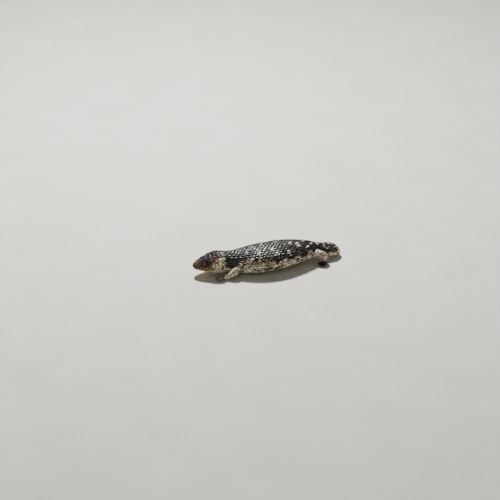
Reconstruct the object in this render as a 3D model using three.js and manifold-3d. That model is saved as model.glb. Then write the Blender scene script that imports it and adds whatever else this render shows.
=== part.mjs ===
// A life-size shingleback skink, also called a bobtail, one of the blue tongued skinks.
// It walks with its left forefoot and right hind foot forward, and its head held low.
// Millimetres, +Z up. The head points to -X, the tail to +X, and the left side to -Y.
import * as THREE from "three";
import { mergeVertices } from "three/addons/utils/BufferGeometryUtils.js";
import Module from "manifold-3d";

const wasm = await Module();
wasm.setup();

// Driving dimensions of the trunk, along the line from the snout to the tail's tip.
const GAP = 0.3; // space kept between two parts that touch
const HEAD_END = 66; // where the head meets the neck
const NECK_END = 84; // where the neck meets the torso
const TORSO_END = 256; // where the torso meets the tail
const TAIL_TIP = 311;
const FLOOR_Z = 0;

// The trunk's sections: x from the snout, the centre's y and z, half the width, and the reach up and down.
const SECTIONS = [
  { x: 0, y: 2.5, z: 21.6, wide: 1.5, up: 1, down: 0.9 },
  { x: 2, y: 2.5, z: 21.7, wide: 6.5, up: 3.9, down: 2.9 },
  { x: 6, y: 2, z: 22, wide: 10.5, up: 7, down: 5 },
  { x: 13, y: 1.5, z: 22.8, wide: 14.5, up: 10.7, down: 8 },
  { x: 25, y: 1, z: 23.5, wide: 19.5, up: 15.5, down: 12.5 },
  { x: 38, y: 0.5, z: 23.7, wide: 24.5, up: 19.5, down: 15.8 },
  { x: 50, y: 0, z: 23.7, wide: 26.5, up: 22.5, down: 17.3 },
  { x: 60, y: -0.5, z: 22.8, wide: 23, up: 23.2, down: 16.6 },
  { x: 71, y: -2, z: 21.8, wide: 20.5, up: 22.4, down: 16.4 },
  { x: 83, y: -4.5, z: 21.6, wide: 22.5, up: 23.2, down: 17.4 },
  { x: 98, y: -7, z: 22.4, wide: 27.5, up: 24, down: 18.6 },
  { x: 122, y: -9, z: 24.2, wide: 34.5, up: 24.6, down: 19.7 },
  { x: 150, y: -9.5, z: 25.3, wide: 38.5, up: 24.2, down: 19.3 },
  { x: 178, y: -7.5, z: 26, wide: 38.5, up: 23, down: 18.4 },
  { x: 205, y: -5, z: 26, wide: 33.5, up: 20.6, down: 17.2 },
  { x: 230, y: -2.5, z: 25, wide: 26.5, up: 17.4, down: 14.9 },
  { x: 248, y: -0.5, z: 23.4, wide: 21, up: 14.6, down: 12.9 },
  { x: 262, y: 1, z: 20.6, wide: 16, up: 11.7, down: 9.9 },
  { x: 276, y: 2, z: 18, wide: 15.5, up: 10.7, down: 8.8 },
  { x: 290, y: 3, z: 15.8, wide: 17, up: 10.4, down: 8.6 },
  { x: 301, y: 3.4, z: 13.2, wide: 14.5, up: 8.4, down: 7 },
  { x: 308, y: 3.2, z: 10.2, wide: 8.5, up: 4.8, down: 4.2 },
  { x: TAIL_TIP + 0.5, y: 3.2, z: 8.4, wide: 1.5, up: 0.9, down: 0.9 },
];

// How far each part's scutes stand up, their rows' pitch and how many go round.
const SCUTES = {
  head: { from: 0, to: HEAD_END, rows: 9, around: 16, rise: 0.9, point: 0.16 },
  neck: { from: HEAD_END + GAP, to: NECK_END, rows: 2, around: 20, rise: 1.7, point: 0.2 },
  torso: { from: NECK_END + GAP, to: TORSO_END, rows: 18, around: 22, rise: 2.3, point: 0.22 },
  tail: { from: TORSO_END + GAP, to: TAIL_TIP, rows: 7, around: 18, rise: 2.1, point: 0.22 },
};
const STEP_RUN = 0.5; // length of the drop behind a scute's free edge
const EDGE_SHARE = 0.3; // how high a scute's corners are, beside its middle
const BELLY_SHARE = 0.22; // how far the flat belly scales stand up, beside those of the back

// Eyes, lids, ears, nostrils and mouth, by their place on the head.
const EYE = { x: 22.5, height: 9.2, inset: 2.8, radius: 3.3 };
const LID = { radius: 3.9, thickness: 1.4, tall: 0.84, out: 1.1 };
const EAR = { x: 55.5, height: 1.5, wide: 1.9, deep: 3.4, tall: 4.2 };
const NOSTRIL = { x: 4.2, height: 2.1, radius: 1.15 };
const MOUTH = { end: 45, drop: 1, rise: 2.6, sag: 1.2, groove: 0.7, lip: 1.9, lipInset: 0.75 };

// Legs: the joints from the body to the ankle, the radii there, and the way the foot points.
const SIDE_NAMES = { left: -1, right: 1 };
const LEGS = {
  front_left: {
    bones: [[94, -18, 21], [80, -31.5, 16.5], [67, -32, 9], [57.5, -29, 5]],
    radii: [9.5, 7.6, 5.6, 4.5],
    toes: -188, toeLength: 10.5, palm: 6.4, side: -1,
  },
  front_right: {
    bones: [[98, 8, 21], [107, 27, 19], [103, 42, 10], [99, 46, 5]],
    radii: [9.5, 8.2, 5.8, 4.6],
    toes: 132, toeLength: 10.5, palm: 6.4, side: 1,
  },
  hind_left: {
    bones: [[246, -9, 20], [264, -24.5, 21], [272, -27.5, 11], [272, -27, 5]],
    radii: [10.5, 7.8, 5.6, 4.8],
    toes: -165, toeLength: 11.5, palm: 6.8, side: -1,
  },
  hind_right: {
    bones: [[246, 8, 20], [228, 30, 18], [231, 41, 10], [228, 45, 5]],
    radii: [10.5, 7.8, 5.6, 4.8],
    toes: 148, toeLength: 11.5, palm: 6.8, side: 1,
  },
};
const LEG_SIDES = 14; // flats round a leg
const TOE_SPREAD = [-56, -27, 0, 27, 56]; // degrees from the way the foot points
const TOE_SCALE = [0.8, 0.98, 1.05, 1, 0.78];
const TOE_RADIUS = 2.3;
const CLAW = { length: 4.6, radius: 1.25, drop: 1.3 };

const SKIN = new THREE.MeshStandardMaterial({ color: 0x4a4038, roughness: 0.55, metalness: 0 });
const PALE = new THREE.MeshStandardMaterial({ color: 0xb9b08f, roughness: 0.6, metalness: 0 });
const EYE_BLACK = new THREE.MeshStandardMaterial({ color: 0x2a1a12, roughness: 0.1, metalness: 0 });

// A smooth value between the sections that never overshoots them, with a monotone cubic.
function slopes(key) {
  const steps = SECTIONS.slice(1).map((s, i) => s.x - SECTIONS[i].x);
  const rises = steps.map((h, i) => (SECTIONS[i + 1][key] - SECTIONS[i][key]) / h);
  return SECTIONS.map((_, i) => {
    if (i === 0) return rises[0];
    if (i === SECTIONS.length - 1) return rises[i - 1];
    if (rises[i - 1] * rises[i] <= 0) return 0;
    const before = 2 * steps[i] + steps[i - 1];
    const after = steps[i] + 2 * steps[i - 1];
    return (before + after) / (before / rises[i - 1] + after / rises[i]);
  });
}
const SLOPES = Object.fromEntries(["y", "z", "wide", "up", "down"].map((key) => [key, slopes(key)]));

function sectionAt(x) {
  let i = SECTIONS.findIndex((s) => s.x > x) - 1;
  if (i < 0) i = SECTIONS.length - 2;
  const [a, b] = [SECTIONS[i], SECTIONS[i + 1]];
  const h = b.x - a.x;
  const t = (x - a.x) / h;
  const mix = (key) =>
    (1 + 2 * t) * (1 - t) ** 2 * a[key] + t * (1 - t) ** 2 * h * SLOPES[key][i] +
    t * t * (3 - 2 * t) * b[key] + t * t * (t - 1) * h * SLOPES[key][i + 1];
  return { y: mix("y"), z: mix("z"), wide: mix("wide"), up: mix("up"), down: mix("down") };
}

// A point of the trunk's surface: angle 90 degrees is the back's middle, 0 the right side.
// The section is a rounded box rather than an ellipse, and lift moves out from it.
const SQUARE = 0.88;
function trunkPoint(x, angle, lift = 0) {
  const s = sectionAt(x);
  const c = Math.cos(angle);
  const n = Math.sin(angle);
  const reach = n > 0 ? s.up : s.down;
  const out = new THREE.Vector2(c / s.wide, n / reach).normalize().multiplyScalar(lift);
  return new THREE.Vector3(
    x,
    s.y + s.wide * Math.sign(c) * Math.abs(c) ** SQUARE + out.x,
    s.z + reach * Math.sign(n) * Math.abs(n) ** SQUARE + out.y,
  );
}

// One closed body from rings of points, each end closed by a fan to its middle.
function loft(rings) {
  const count = rings[0].length;
  const points = rings.flat();
  const middle = (ring) => ring.reduce((m, p) => m.add(p), new THREE.Vector3()).divideScalar(count);
  const faces = [];
  for (let i = 0; i + 1 < rings.length; i++) {
    for (let j = 0; j < count; j++) {
      const [a, b] = [i * count + j, i * count + ((j + 1) % count)];
      faces.push(a, a + count, b, b, a + count, b + count);
    }
  }
  const [first, last] = [points.length, points.length + 1];
  points.push(middle(rings[0]), middle(rings.at(-1)));
  const end = (rings.length - 1) * count;
  for (let j = 0; j < count; j++) {
    const next = (j + 1) % count;
    faces.push(first, j, next, last, end + next, end + j);
  }
  const geometry = new THREE.BufferGeometry().setFromPoints(points);
  geometry.setIndex(faces);
  return geometry;
}

// How much of its full height a scute has at this angle: all on the back, little on the belly.
function scuteShare(angle) {
  const height = Math.sin(angle);
  return BELLY_SHARE + (1 - BELLY_SHARE) * THREE.MathUtils.smoothstep(height, -0.75, -0.1);
}

// A length of the trunk with rows of raised, pointed scutes, like a pine cone's.
// Every second column is the middle of a scute, and the next row's scutes sit between them.
// With grow it is that much bigger all round, to cut what meets it.
function scutedLength({ from, to, rows, around, rise, point }, grow = 0) {
  const columns = 2 * around;
  const pitch = (to - from) / rows;
  const angles = Array.from({ length: columns }, (_, j) => Math.PI / 2 - (2 * Math.PI * j) / columns);
  const plain = (x) => angles.map((angle) => trunkPoint(x, angle, grow));
  const rings = [plain(from - grow)];
  for (let row = 0; row + 1 < rows; row++) {
    const ringAt = (run, low) =>
      angles.map((angle, j) => {
        const middle = (row + j) % 2 === 0;
        const x = from + (row + 1) * pitch + (middle ? 1 : -1) * point * pitch + run;
        const lift = low ? 0 : rise * scuteShare(angle) * (middle ? 1 : EDGE_SHARE);
        const fade = THREE.MathUtils.clamp(Math.min(x, TAIL_TIP - x) / 14, 0.25, 1);
        return trunkPoint(x, angle, lift * fade + grow);
      });
    rings.push(ringAt(0, false), ringAt(STEP_RUN, true));
  }
  rings.push(plain(Math.min(to + grow, TAIL_TIP)));
  return loft(rings);
}

// A geometry as a manifold-3d solid, and back.
function solid(geometry) {
  const bare = geometry.clone();
  bare.deleteAttribute("normal");
  bare.deleteAttribute("uv");
  const merged = mergeVertices(bare, 1e-4);
  return new wasm.Manifold(
    new wasm.Mesh({
      numProp: 3,
      vertProperties: merged.attributes.position.array,
      triVerts: new Uint32Array(merged.index.array),
    }),
  );
}

function geometryOf(made) {
  const largest = made.decompose().reduce((a, b) => (b.volume() > a.volume() ? b : a));
  const mesh = largest.getMesh();
  const geometry = new THREE.BufferGeometry();
  geometry.setAttribute("position", new THREE.BufferAttribute(mesh.vertProperties, 3));
  geometry.setIndex(new THREE.BufferAttribute(mesh.triVerts, 1));
  return geometry;
}

// A ball of few flats, stretched and placed.
function ball(centre, radii, turnZ = 0, across = 14, tall = 9) {
  const geometry = new THREE.SphereGeometry(1, across, tall);
  geometry.scale(...radii);
  geometry.rotateZ(turnZ);
  return geometry.translate(centre.x, centre.y, centre.z);
}

// Where a feature sits on the side of the head, at a height over the section's centre.
function headSide(x, height, side, inset) {
  const s = sectionAt(x);
  const reach = height > 0 ? s.up : s.down;
  const share = (Math.abs(height) / reach) ** (1 / SQUARE);
  const half = s.wide * Math.sqrt(1 - share * share) ** SQUARE;
  return new THREE.Vector3(x, s.y + side * (half - inset), s.z + height);
}

// The line where the lips meet, round the snout from one corner of the mouth to the other.
function mouthLine(inset) {
  const side = (sign) =>
    [MOUTH.end, 40, 33, 25, 17, 10, 5].map((x) => {
      const back = x / MOUTH.end;
      const height = -MOUTH.drop + MOUTH.rise * back ** 4 - MOUTH.sag * Math.sin(Math.PI * back);
      return headSide(x, height, sign, inset);
    });
  const front = new THREE.Vector3(1 + inset, sectionAt(1).y, sectionAt(1).z - MOUTH.drop + 0.4);
  return new THREE.CatmullRomCurve3([...side(-1), front, ...side(1).reverse()]);
}

// A round band along the line of the mouth: the lips stand out from it, and the groove is cut in.
function alongMouth(radius, inset, steps) {
  const shape = new THREE.Shape();
  shape.absarc(0, 0, radius, 0, 2 * Math.PI);
  const path = { steps, curveSegments: 4, bevelEnabled: false, extrudePath: mouthLine(inset) };
  return new THREE.ExtrudeGeometry(shape, path);
}

function eyeCentre(side) {
  return headSide(EYE.x, EYE.height, side, EYE.inset);
}

// The way the eye looks out, across the head and a little forward and up.
function eyeFacing(side) {
  return new THREE.Vector3(-0.35, side, 0.32).normalize();
}

function lid(side) {
  const ring = new THREE.TorusGeometry(LID.radius, LID.thickness, 6, 14);
  ring.scale(1, LID.tall, 1);
  const turn = new THREE.Matrix4().lookAt(eyeFacing(side), new THREE.Vector3(), new THREE.Vector3(0, 0, 1));
  ring.applyMatrix4(turn);
  const place = eyeCentre(side).addScaledVector(eyeFacing(side), LID.out);
  return ring.translate(place.x, place.y, place.z);
}

function head() {
  const lips = solid(alongMouth(MOUTH.lip, MOUTH.lipInset, 24));
  const groove = solid(alongMouth(MOUTH.groove, -0.35, 30));
  let made = solid(scutedLength(SCUTES.head)).add(lips).subtract(groove);
  for (const side of Object.values(SIDE_NAMES)) {
    const socket = EYE.radius + GAP;
    made = made
      .add(solid(lid(side)))
      .subtract(solid(ball(eyeCentre(side), [socket, socket, socket])))
      .subtract(solid(ball(headSide(EAR.x, EAR.height, side, 0.6), [EAR.wide, EAR.deep, EAR.tall])))
      .subtract(solid(ball(headSide(NOSTRIL.x, NOSTRIL.height, side, 0.4),
        [NOSTRIL.radius, NOSTRIL.radius * 1.4, NOSTRIL.radius * 0.8], 0, 8, 6)));
  }
  return geometryOf(made);
}

// Rings round a path through points, with a radius at each, in equal steps.
function tubeAlong(points, radii, steps, sides, from = 0, to = 1) {
  const path = new THREE.CatmullRomCurve3(points.map((p) => new THREE.Vector3(...p)), false, "centripetal");
  const rings = [];
  for (let i = 0; i <= steps; i++) {
    const t = from + ((to - from) * i) / steps;
    const centre = path.getPoint(t);
    const ahead = path.getTangent(t);
    const across = new THREE.Vector3(0, 0, 1).cross(ahead).normalize();
    const upward = ahead.clone().cross(across);
    const place = t * (radii.length - 1);
    const k = Math.min(Math.floor(place), radii.length - 2);
    const radius = THREE.MathUtils.lerp(radii[k], radii[k + 1], THREE.MathUtils.smoothstep(place - k, 0, 1));
    rings.push(
      Array.from({ length: sides }, (_, j) => {
        const angle = (-2 * Math.PI * j) / sides;
        return centre.clone().addScaledVector(across, radius * Math.cos(angle))
          .addScaledVector(upward, radius * Math.sin(angle));
      }),
    );
  }
  return loft(rings);
}

// A box under the floor, which flattens what stands on it.
function underFloor() {
  return solid(new THREE.BoxGeometry(600, 300, 40).translate(150, 0, FLOOR_Z - 20));
}

// A limb's solid less the trunk's lengths that it grows out of or passes.
function clearOfTrunk(limb) {
  const made = Object.values(SCUTES).reduce(
    (rest, length) => rest.subtract(solid(scutedLength(length, GAP))), solid(limb));
  return geometryOf(made);
}

const LEG_CUT = 0.02; // share of a leg's path left out at the elbow or knee, and at the ankle
function upperLeg(leg) {
  return clearOfTrunk(tubeAlong(leg.bones, leg.radii, 7, LEG_SIDES, 0, 0.4));
}

function lowerLeg(leg) {
  return clearOfTrunk(tubeAlong(leg.bones, leg.radii, 6, LEG_SIDES, 0.4 + LEG_CUT, 0.9));
}

function toe(leg, root, index) {
  const angle = THREE.MathUtils.degToRad(leg.toes + TOE_SPREAD[index] * leg.side);
  const length = leg.toeLength * TOE_SCALE[index];
  const at = (run, z) => [root.x + run * Math.cos(angle), root.y + run * Math.sin(angle), z];
  const finger = tubeAlong(
    [at(1, 3.4), at(length * 0.5, 3), at(length, 1.9)],
    [TOE_RADIUS, TOE_RADIUS * 0.95, TOE_RADIUS * 0.7], 4, 7);
  const claw = tubeAlong(
    [at(length - 1.4, 2.2), at(length + CLAW.length * 0.45, 2.5), at(length + CLAW.length, 2.2 - CLAW.drop)],
    [CLAW.radius, CLAW.radius * 0.75, 0.25], 3, 5);
  return solid(finger).add(solid(claw));
}

function foot(leg) {
  const ankle = new THREE.Vector3(...leg.bones.at(-1));
  const angle = THREE.MathUtils.degToRad(leg.toes);
  const root = new THREE.Vector3(ankle.x + 3.5 * Math.cos(angle), ankle.y + 3.5 * Math.sin(angle), 3.4);
  let made = solid(tubeAlong(leg.bones, leg.radii, 3, LEG_SIDES, 0.9 + LEG_CUT, 1));
  made = made.add(solid(ball(root, [leg.palm, leg.palm * 0.9, 3.9], angle, 14, 9)));
  TOE_SPREAD.forEach((_, index) => {
    made = made.add(toe(leg, root, index));
  });
  const shin = solid(tubeAlong(leg.bones, leg.radii.map((r) => r + GAP), 6, LEG_SIDES, 0.4, 0.9 + LEG_CUT * 0.8));
  return geometryOf(made.subtract(shin).subtract(underFloor()));
}

const animal = new THREE.Group();
function addPart(name, geometry, material) {
  const mesh = new THREE.Mesh(geometry, material);
  mesh.name = name;
  animal.add(mesh);
}

addPart("head", head(), SKIN);
addPart("neck", scutedLength(SCUTES.neck), SKIN);
addPart("torso", scutedLength(SCUTES.torso), SKIN);
addPart("tail", scutedLength(SCUTES.tail), SKIN);
for (const [name, side] of Object.entries(SIDE_NAMES)) {
  addPart("eye_" + name, ball(eyeCentre(side), [EYE.radius, EYE.radius, EYE.radius], 0, 12, 8), EYE_BLACK);
}
for (const [name, leg] of Object.entries(LEGS)) {
  addPart("leg_" + name + "_upper", upperLeg(leg), PALE);
  addPart("leg_" + name + "_lower", lowerLeg(leg), PALE);
  addPart("foot_" + name, foot(leg), PALE);
}

// The origin is under the middle of the whole animal, on the floor.
const extent = new THREE.Box3().setFromObject(animal, true);
const centre = extent.getCenter(new THREE.Vector3());
animal.position.set(-centre.x, -centre.y, -extent.min.z);

export default animal;
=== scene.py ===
"""Looks of a life-size shingleback skink, one of the blue tongued skinks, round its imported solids.

The animal walks low with its head to -X and its left side to -Y. Sizes are in millimetres, measured
along the animal from its snout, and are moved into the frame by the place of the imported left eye.
"""
import logging
import math
from dataclasses import astuple, dataclass, field
from enum import Enum
from typing import Callable, Iterable, Sequence

import bpy
import numpy as np
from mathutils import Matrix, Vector


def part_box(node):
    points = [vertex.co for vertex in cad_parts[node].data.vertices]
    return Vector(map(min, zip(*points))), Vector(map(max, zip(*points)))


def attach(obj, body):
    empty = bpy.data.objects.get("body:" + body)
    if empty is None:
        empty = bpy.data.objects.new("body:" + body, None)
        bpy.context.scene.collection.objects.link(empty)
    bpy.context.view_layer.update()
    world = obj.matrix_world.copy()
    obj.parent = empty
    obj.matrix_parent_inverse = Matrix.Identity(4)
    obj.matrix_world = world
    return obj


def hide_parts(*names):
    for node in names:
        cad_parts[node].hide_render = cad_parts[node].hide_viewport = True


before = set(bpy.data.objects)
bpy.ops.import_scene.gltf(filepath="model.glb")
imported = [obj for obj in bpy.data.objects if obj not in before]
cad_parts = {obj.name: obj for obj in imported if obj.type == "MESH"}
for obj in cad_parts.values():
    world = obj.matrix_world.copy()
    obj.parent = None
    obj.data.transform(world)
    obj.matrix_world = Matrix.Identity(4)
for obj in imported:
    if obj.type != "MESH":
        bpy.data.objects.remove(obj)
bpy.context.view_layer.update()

log = logging.getLogger("skink")

MM = 0.001
BODY = "root"
SIDES = {"left": 1.0, "right": -1.0}
SCALE_PATCH = 0.003
TAIL_TIP = 311.0
MID_TRUNK = 180.0
LEAST_GIRTH = 3.0
HIND_DARK = 0.75
WAVES = 14


class Slot(Enum):
    """The finish slots' names."""

    SCALE = "scale_skin"
    LIMB = "limb_skin"
    EYE = "eye"
    CLAW = "claw"


def smooth(x: np.ndarray, low: float, high: float) -> np.ndarray:
    """A soft step: 0 below low, 1 above high, and 3t^2 - 2t^3 between them.

    Args:
        x: The values to step.
        low: Where the step starts.
        high: Where the step ends.

    Returns:
        Values from 0 to 1, in the shape of x.
    """
    t = np.clip((np.asarray(x, float) - low) / (high - low), 0.0, 1.0)
    return t * t * (3.0 - 2.0 * t)


def window(x: np.ndarray, low: float, full: float, fade: float, end: float) -> np.ndarray:
    """A soft step up from low to full, times a soft step down from fade to end."""
    return smooth(x, low, full) * smooth(x, end, fade)


def mix(a: np.ndarray, b: np.ndarray, t: np.ndarray) -> np.ndarray:
    """The value that lies the share t of the way from a to b."""
    return a + (b - a) * t


def half_turn(f: np.ndarray) -> np.ndarray:
    """Shares of a turn, brought into -0.5 to 0.5."""
    return (np.asarray(f) + 0.5) % 1.0 - 0.5


def ripples(points: np.ndarray, size: float, seed: int) -> np.ndarray:
    """Smooth seeded noise: plane sine waves of like length in random directions, summed and scaled.

    Args:
        points: An array whose last axis holds coordinates, in mm.
        size: The length of a typical wave, in mm.
        seed: Picks the directions and phases.

    Returns:
        Values of about -1 to 1, in the shape of points without its last axis.
    """
    rng = np.random.default_rng(seed)
    way = rng.normal(size=(WAVES, points.shape[-1]))
    way /= np.linalg.norm(way, axis=1, keepdims=True)
    way *= 2.0 * np.pi / (size * rng.uniform(0.7, 1.5, (WAVES, 1)))
    phase = rng.uniform(0.0, 2.0 * np.pi, WAVES)
    return np.sin(points @ way.T + phase).sum(-1) * 1.6 / math.sqrt(WAVES) * 0.7


@dataclass(frozen=True)
class Section:
    """One section of the trunk, in mm: its x, centre, half width, and reach up and down."""

    x: float
    y: float
    z: float
    wide: float
    up: float
    down: float


SECTIONS = tuple(Section(*row) for row in (
    (0, 2.5, 21.6, 1.5, 1, 0.9),
    (2, 2.5, 21.7, 6.5, 3.9, 2.9),
    (6, 2, 22, 10.5, 7, 5),
    (13, 1.5, 22.8, 14.5, 10.7, 8),
    (25, 1, 23.5, 19.5, 15.5, 12.5),
    (38, 0.5, 23.7, 24.5, 19.5, 15.8),
    (50, 0, 23.7, 26.5, 22.5, 17.3),
    (60, -0.5, 22.8, 23, 23.2, 16.6),
    (71, -2, 21.8, 20.5, 22.4, 16.4),
    (83, -4.5, 21.6, 22.5, 23.2, 17.4),
    (98, -7, 22.4, 27.5, 24, 18.6),
    (122, -9, 24.2, 34.5, 24.6, 19.7),
    (150, -9.5, 25.3, 38.5, 24.2, 19.3),
    (178, -7.5, 26, 38.5, 23, 18.4),
    (205, -5, 26, 33.5, 20.6, 17.2),
    (230, -2.5, 25, 26.5, 17.4, 14.9),
    (248, -0.5, 23.4, 21, 14.6, 12.9),
    (262, 1, 20.6, 16, 11.7, 9.9),
    (276, 2, 18, 15.5, 10.7, 8.8),
    (290, 3, 15.8, 17, 10.4, 8.6),
    (301, 3.4, 13.2, 14.5, 8.4, 7),
    (308, 3.2, 10.2, 8.5, 4.8, 4.2),
    (TAIL_TIP + 0.5, 3.2, 8.4, 1.5, 0.9, 0.9),
))


class Form:
    """A closed surface reached by s, mm along it, f, the share of a turn from its top, and a height.

    f grows toward the animal's left side on the trunk, and runs from -0.5 to 0.5.
    """

    length: float
    girths: np.ndarray
    marks: np.ndarray

    def base(self, s: np.ndarray, f: np.ndarray) -> np.ndarray:
        """The plain surface's points, in mm."""
        raise NotImplementedError

    def relief(self, s: np.ndarray, f: np.ndarray) -> np.ndarray:
        """How far the true surface stands out from the plain one, in mm."""
        return np.zeros(np.broadcast(s, f).shape)

    def girth(self, s: np.ndarray) -> np.ndarray:
        """The distance round the form at s, in mm."""
        return np.interp(s, self.marks, self.girths)

    def skin(self, s: np.ndarray, f: np.ndarray) -> np.ndarray:
        """The true surface: the plain one moved along its normal by the relief."""
        lift = self.relief(s, f)[..., None]
        return self.base(s, f) + self.normal(s, f, self.base) * lift

    def normal(self, s: np.ndarray, f: np.ndarray, of: Callable) -> np.ndarray:
        """The outward normal, as the cross product of small steps along and round the surface.

        Args:
            s: Places along the form, in mm.
            f: Shares of a turn.
            of: The surface function, base or skin.

        Returns:
            Unit vectors.
        """
        run = 0.35
        turn = run / np.maximum(self.girth(s), 4.0)
        low, high = np.clip(s - run, 0.0, self.length), np.clip(s + run, 0.0, self.length)
        along = of(high, f) - of(low, f)
        around = of(s, f + turn) - of(s, f - turn)
        out = np.cross(around, along)
        return out / np.maximum(np.linalg.norm(out, axis=-1, keepdims=True), 1e-9)

    def place(self, s: np.ndarray, f: np.ndarray, h: np.ndarray) -> np.ndarray:
        """Points h above the true surface."""
        s = np.clip(s, 0.0, self.length)
        normal = self.normal(s, f, self.skin)
        return self.skin(s, f) + normal * np.asarray(h)[..., None]


def shell(form: Form, rows: int, columns: int, height: float) -> tuple:
    """A form's closed surface at a height over it, as vertices, four-cornered faces and triangles."""
    s, f = np.meshgrid(np.linspace(0.0, form.length, rows), np.arange(columns) / columns, indexing="ij")
    return closed_tube(form.place(s, f, np.full(s.shape, height)))


@dataclass(eq=False)
class Trunk(Form):
    """Head, neck, body and tail: rounded-box sections joined by a monotone cubic in x."""

    square: float = 0.88
    stations: int = 312
    turns: int = 97

    def __post_init__(self) -> None:
        """Works out the slopes of the sections, the run along the trunk and the way round it."""
        table = np.array([astuple(section) for section in SECTIONS], float)
        self.xs = table[:, 0]
        self.values = table[:, 1:]
        self.slopes = self._slopes()
        self.line = np.linspace(0.0, TAIL_TIP, self.stations)
        self._measure()
        self.eye = Eye()
        self.ear = Ear()
        self.mouth = Mouth()
        self.ear_share = float(self.share_at(self.ear.x, self.ear.height))
        self.mouth_places = np.linspace(0.0, 60.0, 61)
        self.mouth_shares = self.share_at(self.mouth_places, self.mouth.height(self.mouth_places))

    def _slopes(self) -> np.ndarray:
        """The monotone cubic's slopes: a weighted harmonic mean of the steps on either side."""
        step = np.diff(self.xs)[:, None]
        rise = np.diff(self.values, axis=0) / step
        slopes = np.zeros_like(self.values)
        slopes[0], slopes[-1] = rise[0], rise[-1]
        before = 2.0 * step[1:] + step[:-1]
        after = step[1:] + 2.0 * step[:-1]
        same = rise[:-1] * rise[1:] > 0.0
        safe = np.where(same, rise[:-1], 1.0), np.where(same, rise[1:], 1.0)
        slopes[1:-1] = np.where(same, (before + after) / (before / safe[0] + after / safe[1]), 0.0)
        return slopes

    def section(self, x: np.ndarray) -> np.ndarray:
        """The centre's y and z, half width, and reach up and down at x, on the last axis."""
        x = np.clip(np.asarray(x, float), 0.0, TAIL_TIP)
        i = np.clip(np.searchsorted(self.xs, x, side="right") - 1, 0, len(self.xs) - 2)
        step = self.xs[i + 1] - self.xs[i]
        t = ((x - self.xs[i]) / step)[..., None]
        step = step[..., None]
        return (
            (1 + 2 * t) * (1 - t) ** 2 * self.values[i]
            + t * (1 - t) ** 2 * step * self.slopes[i]
            + t * t * (3 - 2 * t) * self.values[i + 1]
            + t * t * (t - 1) * step * self.slopes[i + 1]
        )

    def ring(self, x: np.ndarray, psi: np.ndarray) -> np.ndarray:
        """A section's point at the angle psi from its top: signed powers of sine and cosine."""
        c = self.section(x)
        side, rise = np.sin(psi), np.cos(psi)
        reach = np.where(rise > 0.0, c[..., 3], c[..., 4])
        y = c[..., 0] - c[..., 2] * np.sign(side) * np.abs(side) ** self.square
        z = c[..., 1] + reach * np.sign(rise) * np.abs(rise) ** self.square
        return np.stack([np.broadcast_to(x, y.shape), y, z], -1)

    def _measure(self) -> None:
        """Tables of arc length: along the mean profile, and half way round each section."""
        psi = np.linspace(0.0, np.pi, 361)
        points = self.ring(self.line[:, None], psi[None, :])
        steps = np.linalg.norm(np.diff(points, axis=1), axis=2)
        way = np.concatenate([np.zeros((self.stations, 1)), np.cumsum(steps, 1)], 1)
        self.girths = 2.0 * way[:, -1]
        self.shares = np.linspace(0.0, 0.5, self.turns)
        rows = zip(way, self.girths)
        self.psis = np.array([np.interp(self.shares, row / girth, psi) for row, girth in rows])
        c = self.section(self.line)
        radius = (c[:, 2] + (c[:, 3] + c[:, 4]) / 2.0) / 2.0
        run = np.hypot(np.diff(self.line), np.diff(radius))
        self.marks = np.concatenate([[0.0], np.cumsum(run)])
        self.length = float(self.marks[-1])

    def x_at(self, s: np.ndarray) -> np.ndarray:
        """x, in mm, at the distance s along the profile."""
        return np.interp(s, self.marks, self.line)

    def girth_at(self, x: np.ndarray) -> np.ndarray:
        """The distance round the trunk at x, in mm."""
        return np.interp(x, self.line, self.girths)

    def s_at(self, x: np.ndarray) -> np.ndarray:
        """The distance along the profile at x."""
        return np.interp(x, self.line, self.marks)

    def angle(self, x: np.ndarray, f: np.ndarray) -> np.ndarray:
        """The section's own angle at the share f of a turn, read from the table between its points."""
        f = half_turn(f)
        column = np.abs(f) * 2.0 * (self.turns - 1)
        j = np.clip(column.astype(int), 0, self.turns - 2)
        row = np.clip(x / TAIL_TIP, 0.0, 1.0) * (self.stations - 1)
        i = np.clip(row.astype(int), 0, self.stations - 2)
        u, v = row - i, column - j
        low = mix(self.psis[i, j], self.psis[i, j + 1], v)
        high = mix(self.psis[i + 1, j], self.psis[i + 1, j + 1], v)
        return np.sign(f) * mix(low, high, u)

    def base(self, s: np.ndarray, f: np.ndarray) -> np.ndarray:
        """The trunk's plain surface."""
        s, f = np.broadcast_arrays(np.asarray(s, float), np.asarray(f, float))
        x = self.x_at(s)
        return self.ring(x, self.angle(x, f))

    def share_at(self, x: np.ndarray, height: np.ndarray) -> np.ndarray:
        """The share of a turn, on the left side, where the surface is that high over the centre."""
        x, height = np.broadcast_arrays(np.asarray(x, float), np.asarray(height, float))
        c = self.section(x)
        reach = np.where(height > 0.0, c[..., 3], c[..., 4])
        rise = np.clip(np.abs(height) / reach, 0.0, 1.0) ** (1.0 / self.square)
        psi = np.arccos(np.sign(height) * rise)
        grid = np.linspace(0.0, 0.5, 201)
        angles = self.angle(x[..., None] + 0.0 * grid, grid + 0.0 * x[..., None])
        nearest = np.abs(angles - psi[..., None]).argmin(-1)
        return grid[nearest]

    def mouth_share(self, x: np.ndarray) -> np.ndarray:
        """The share of a turn at which the line of the mouth runs."""
        return np.interp(x, self.mouth_places, self.mouth_shares)

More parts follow.
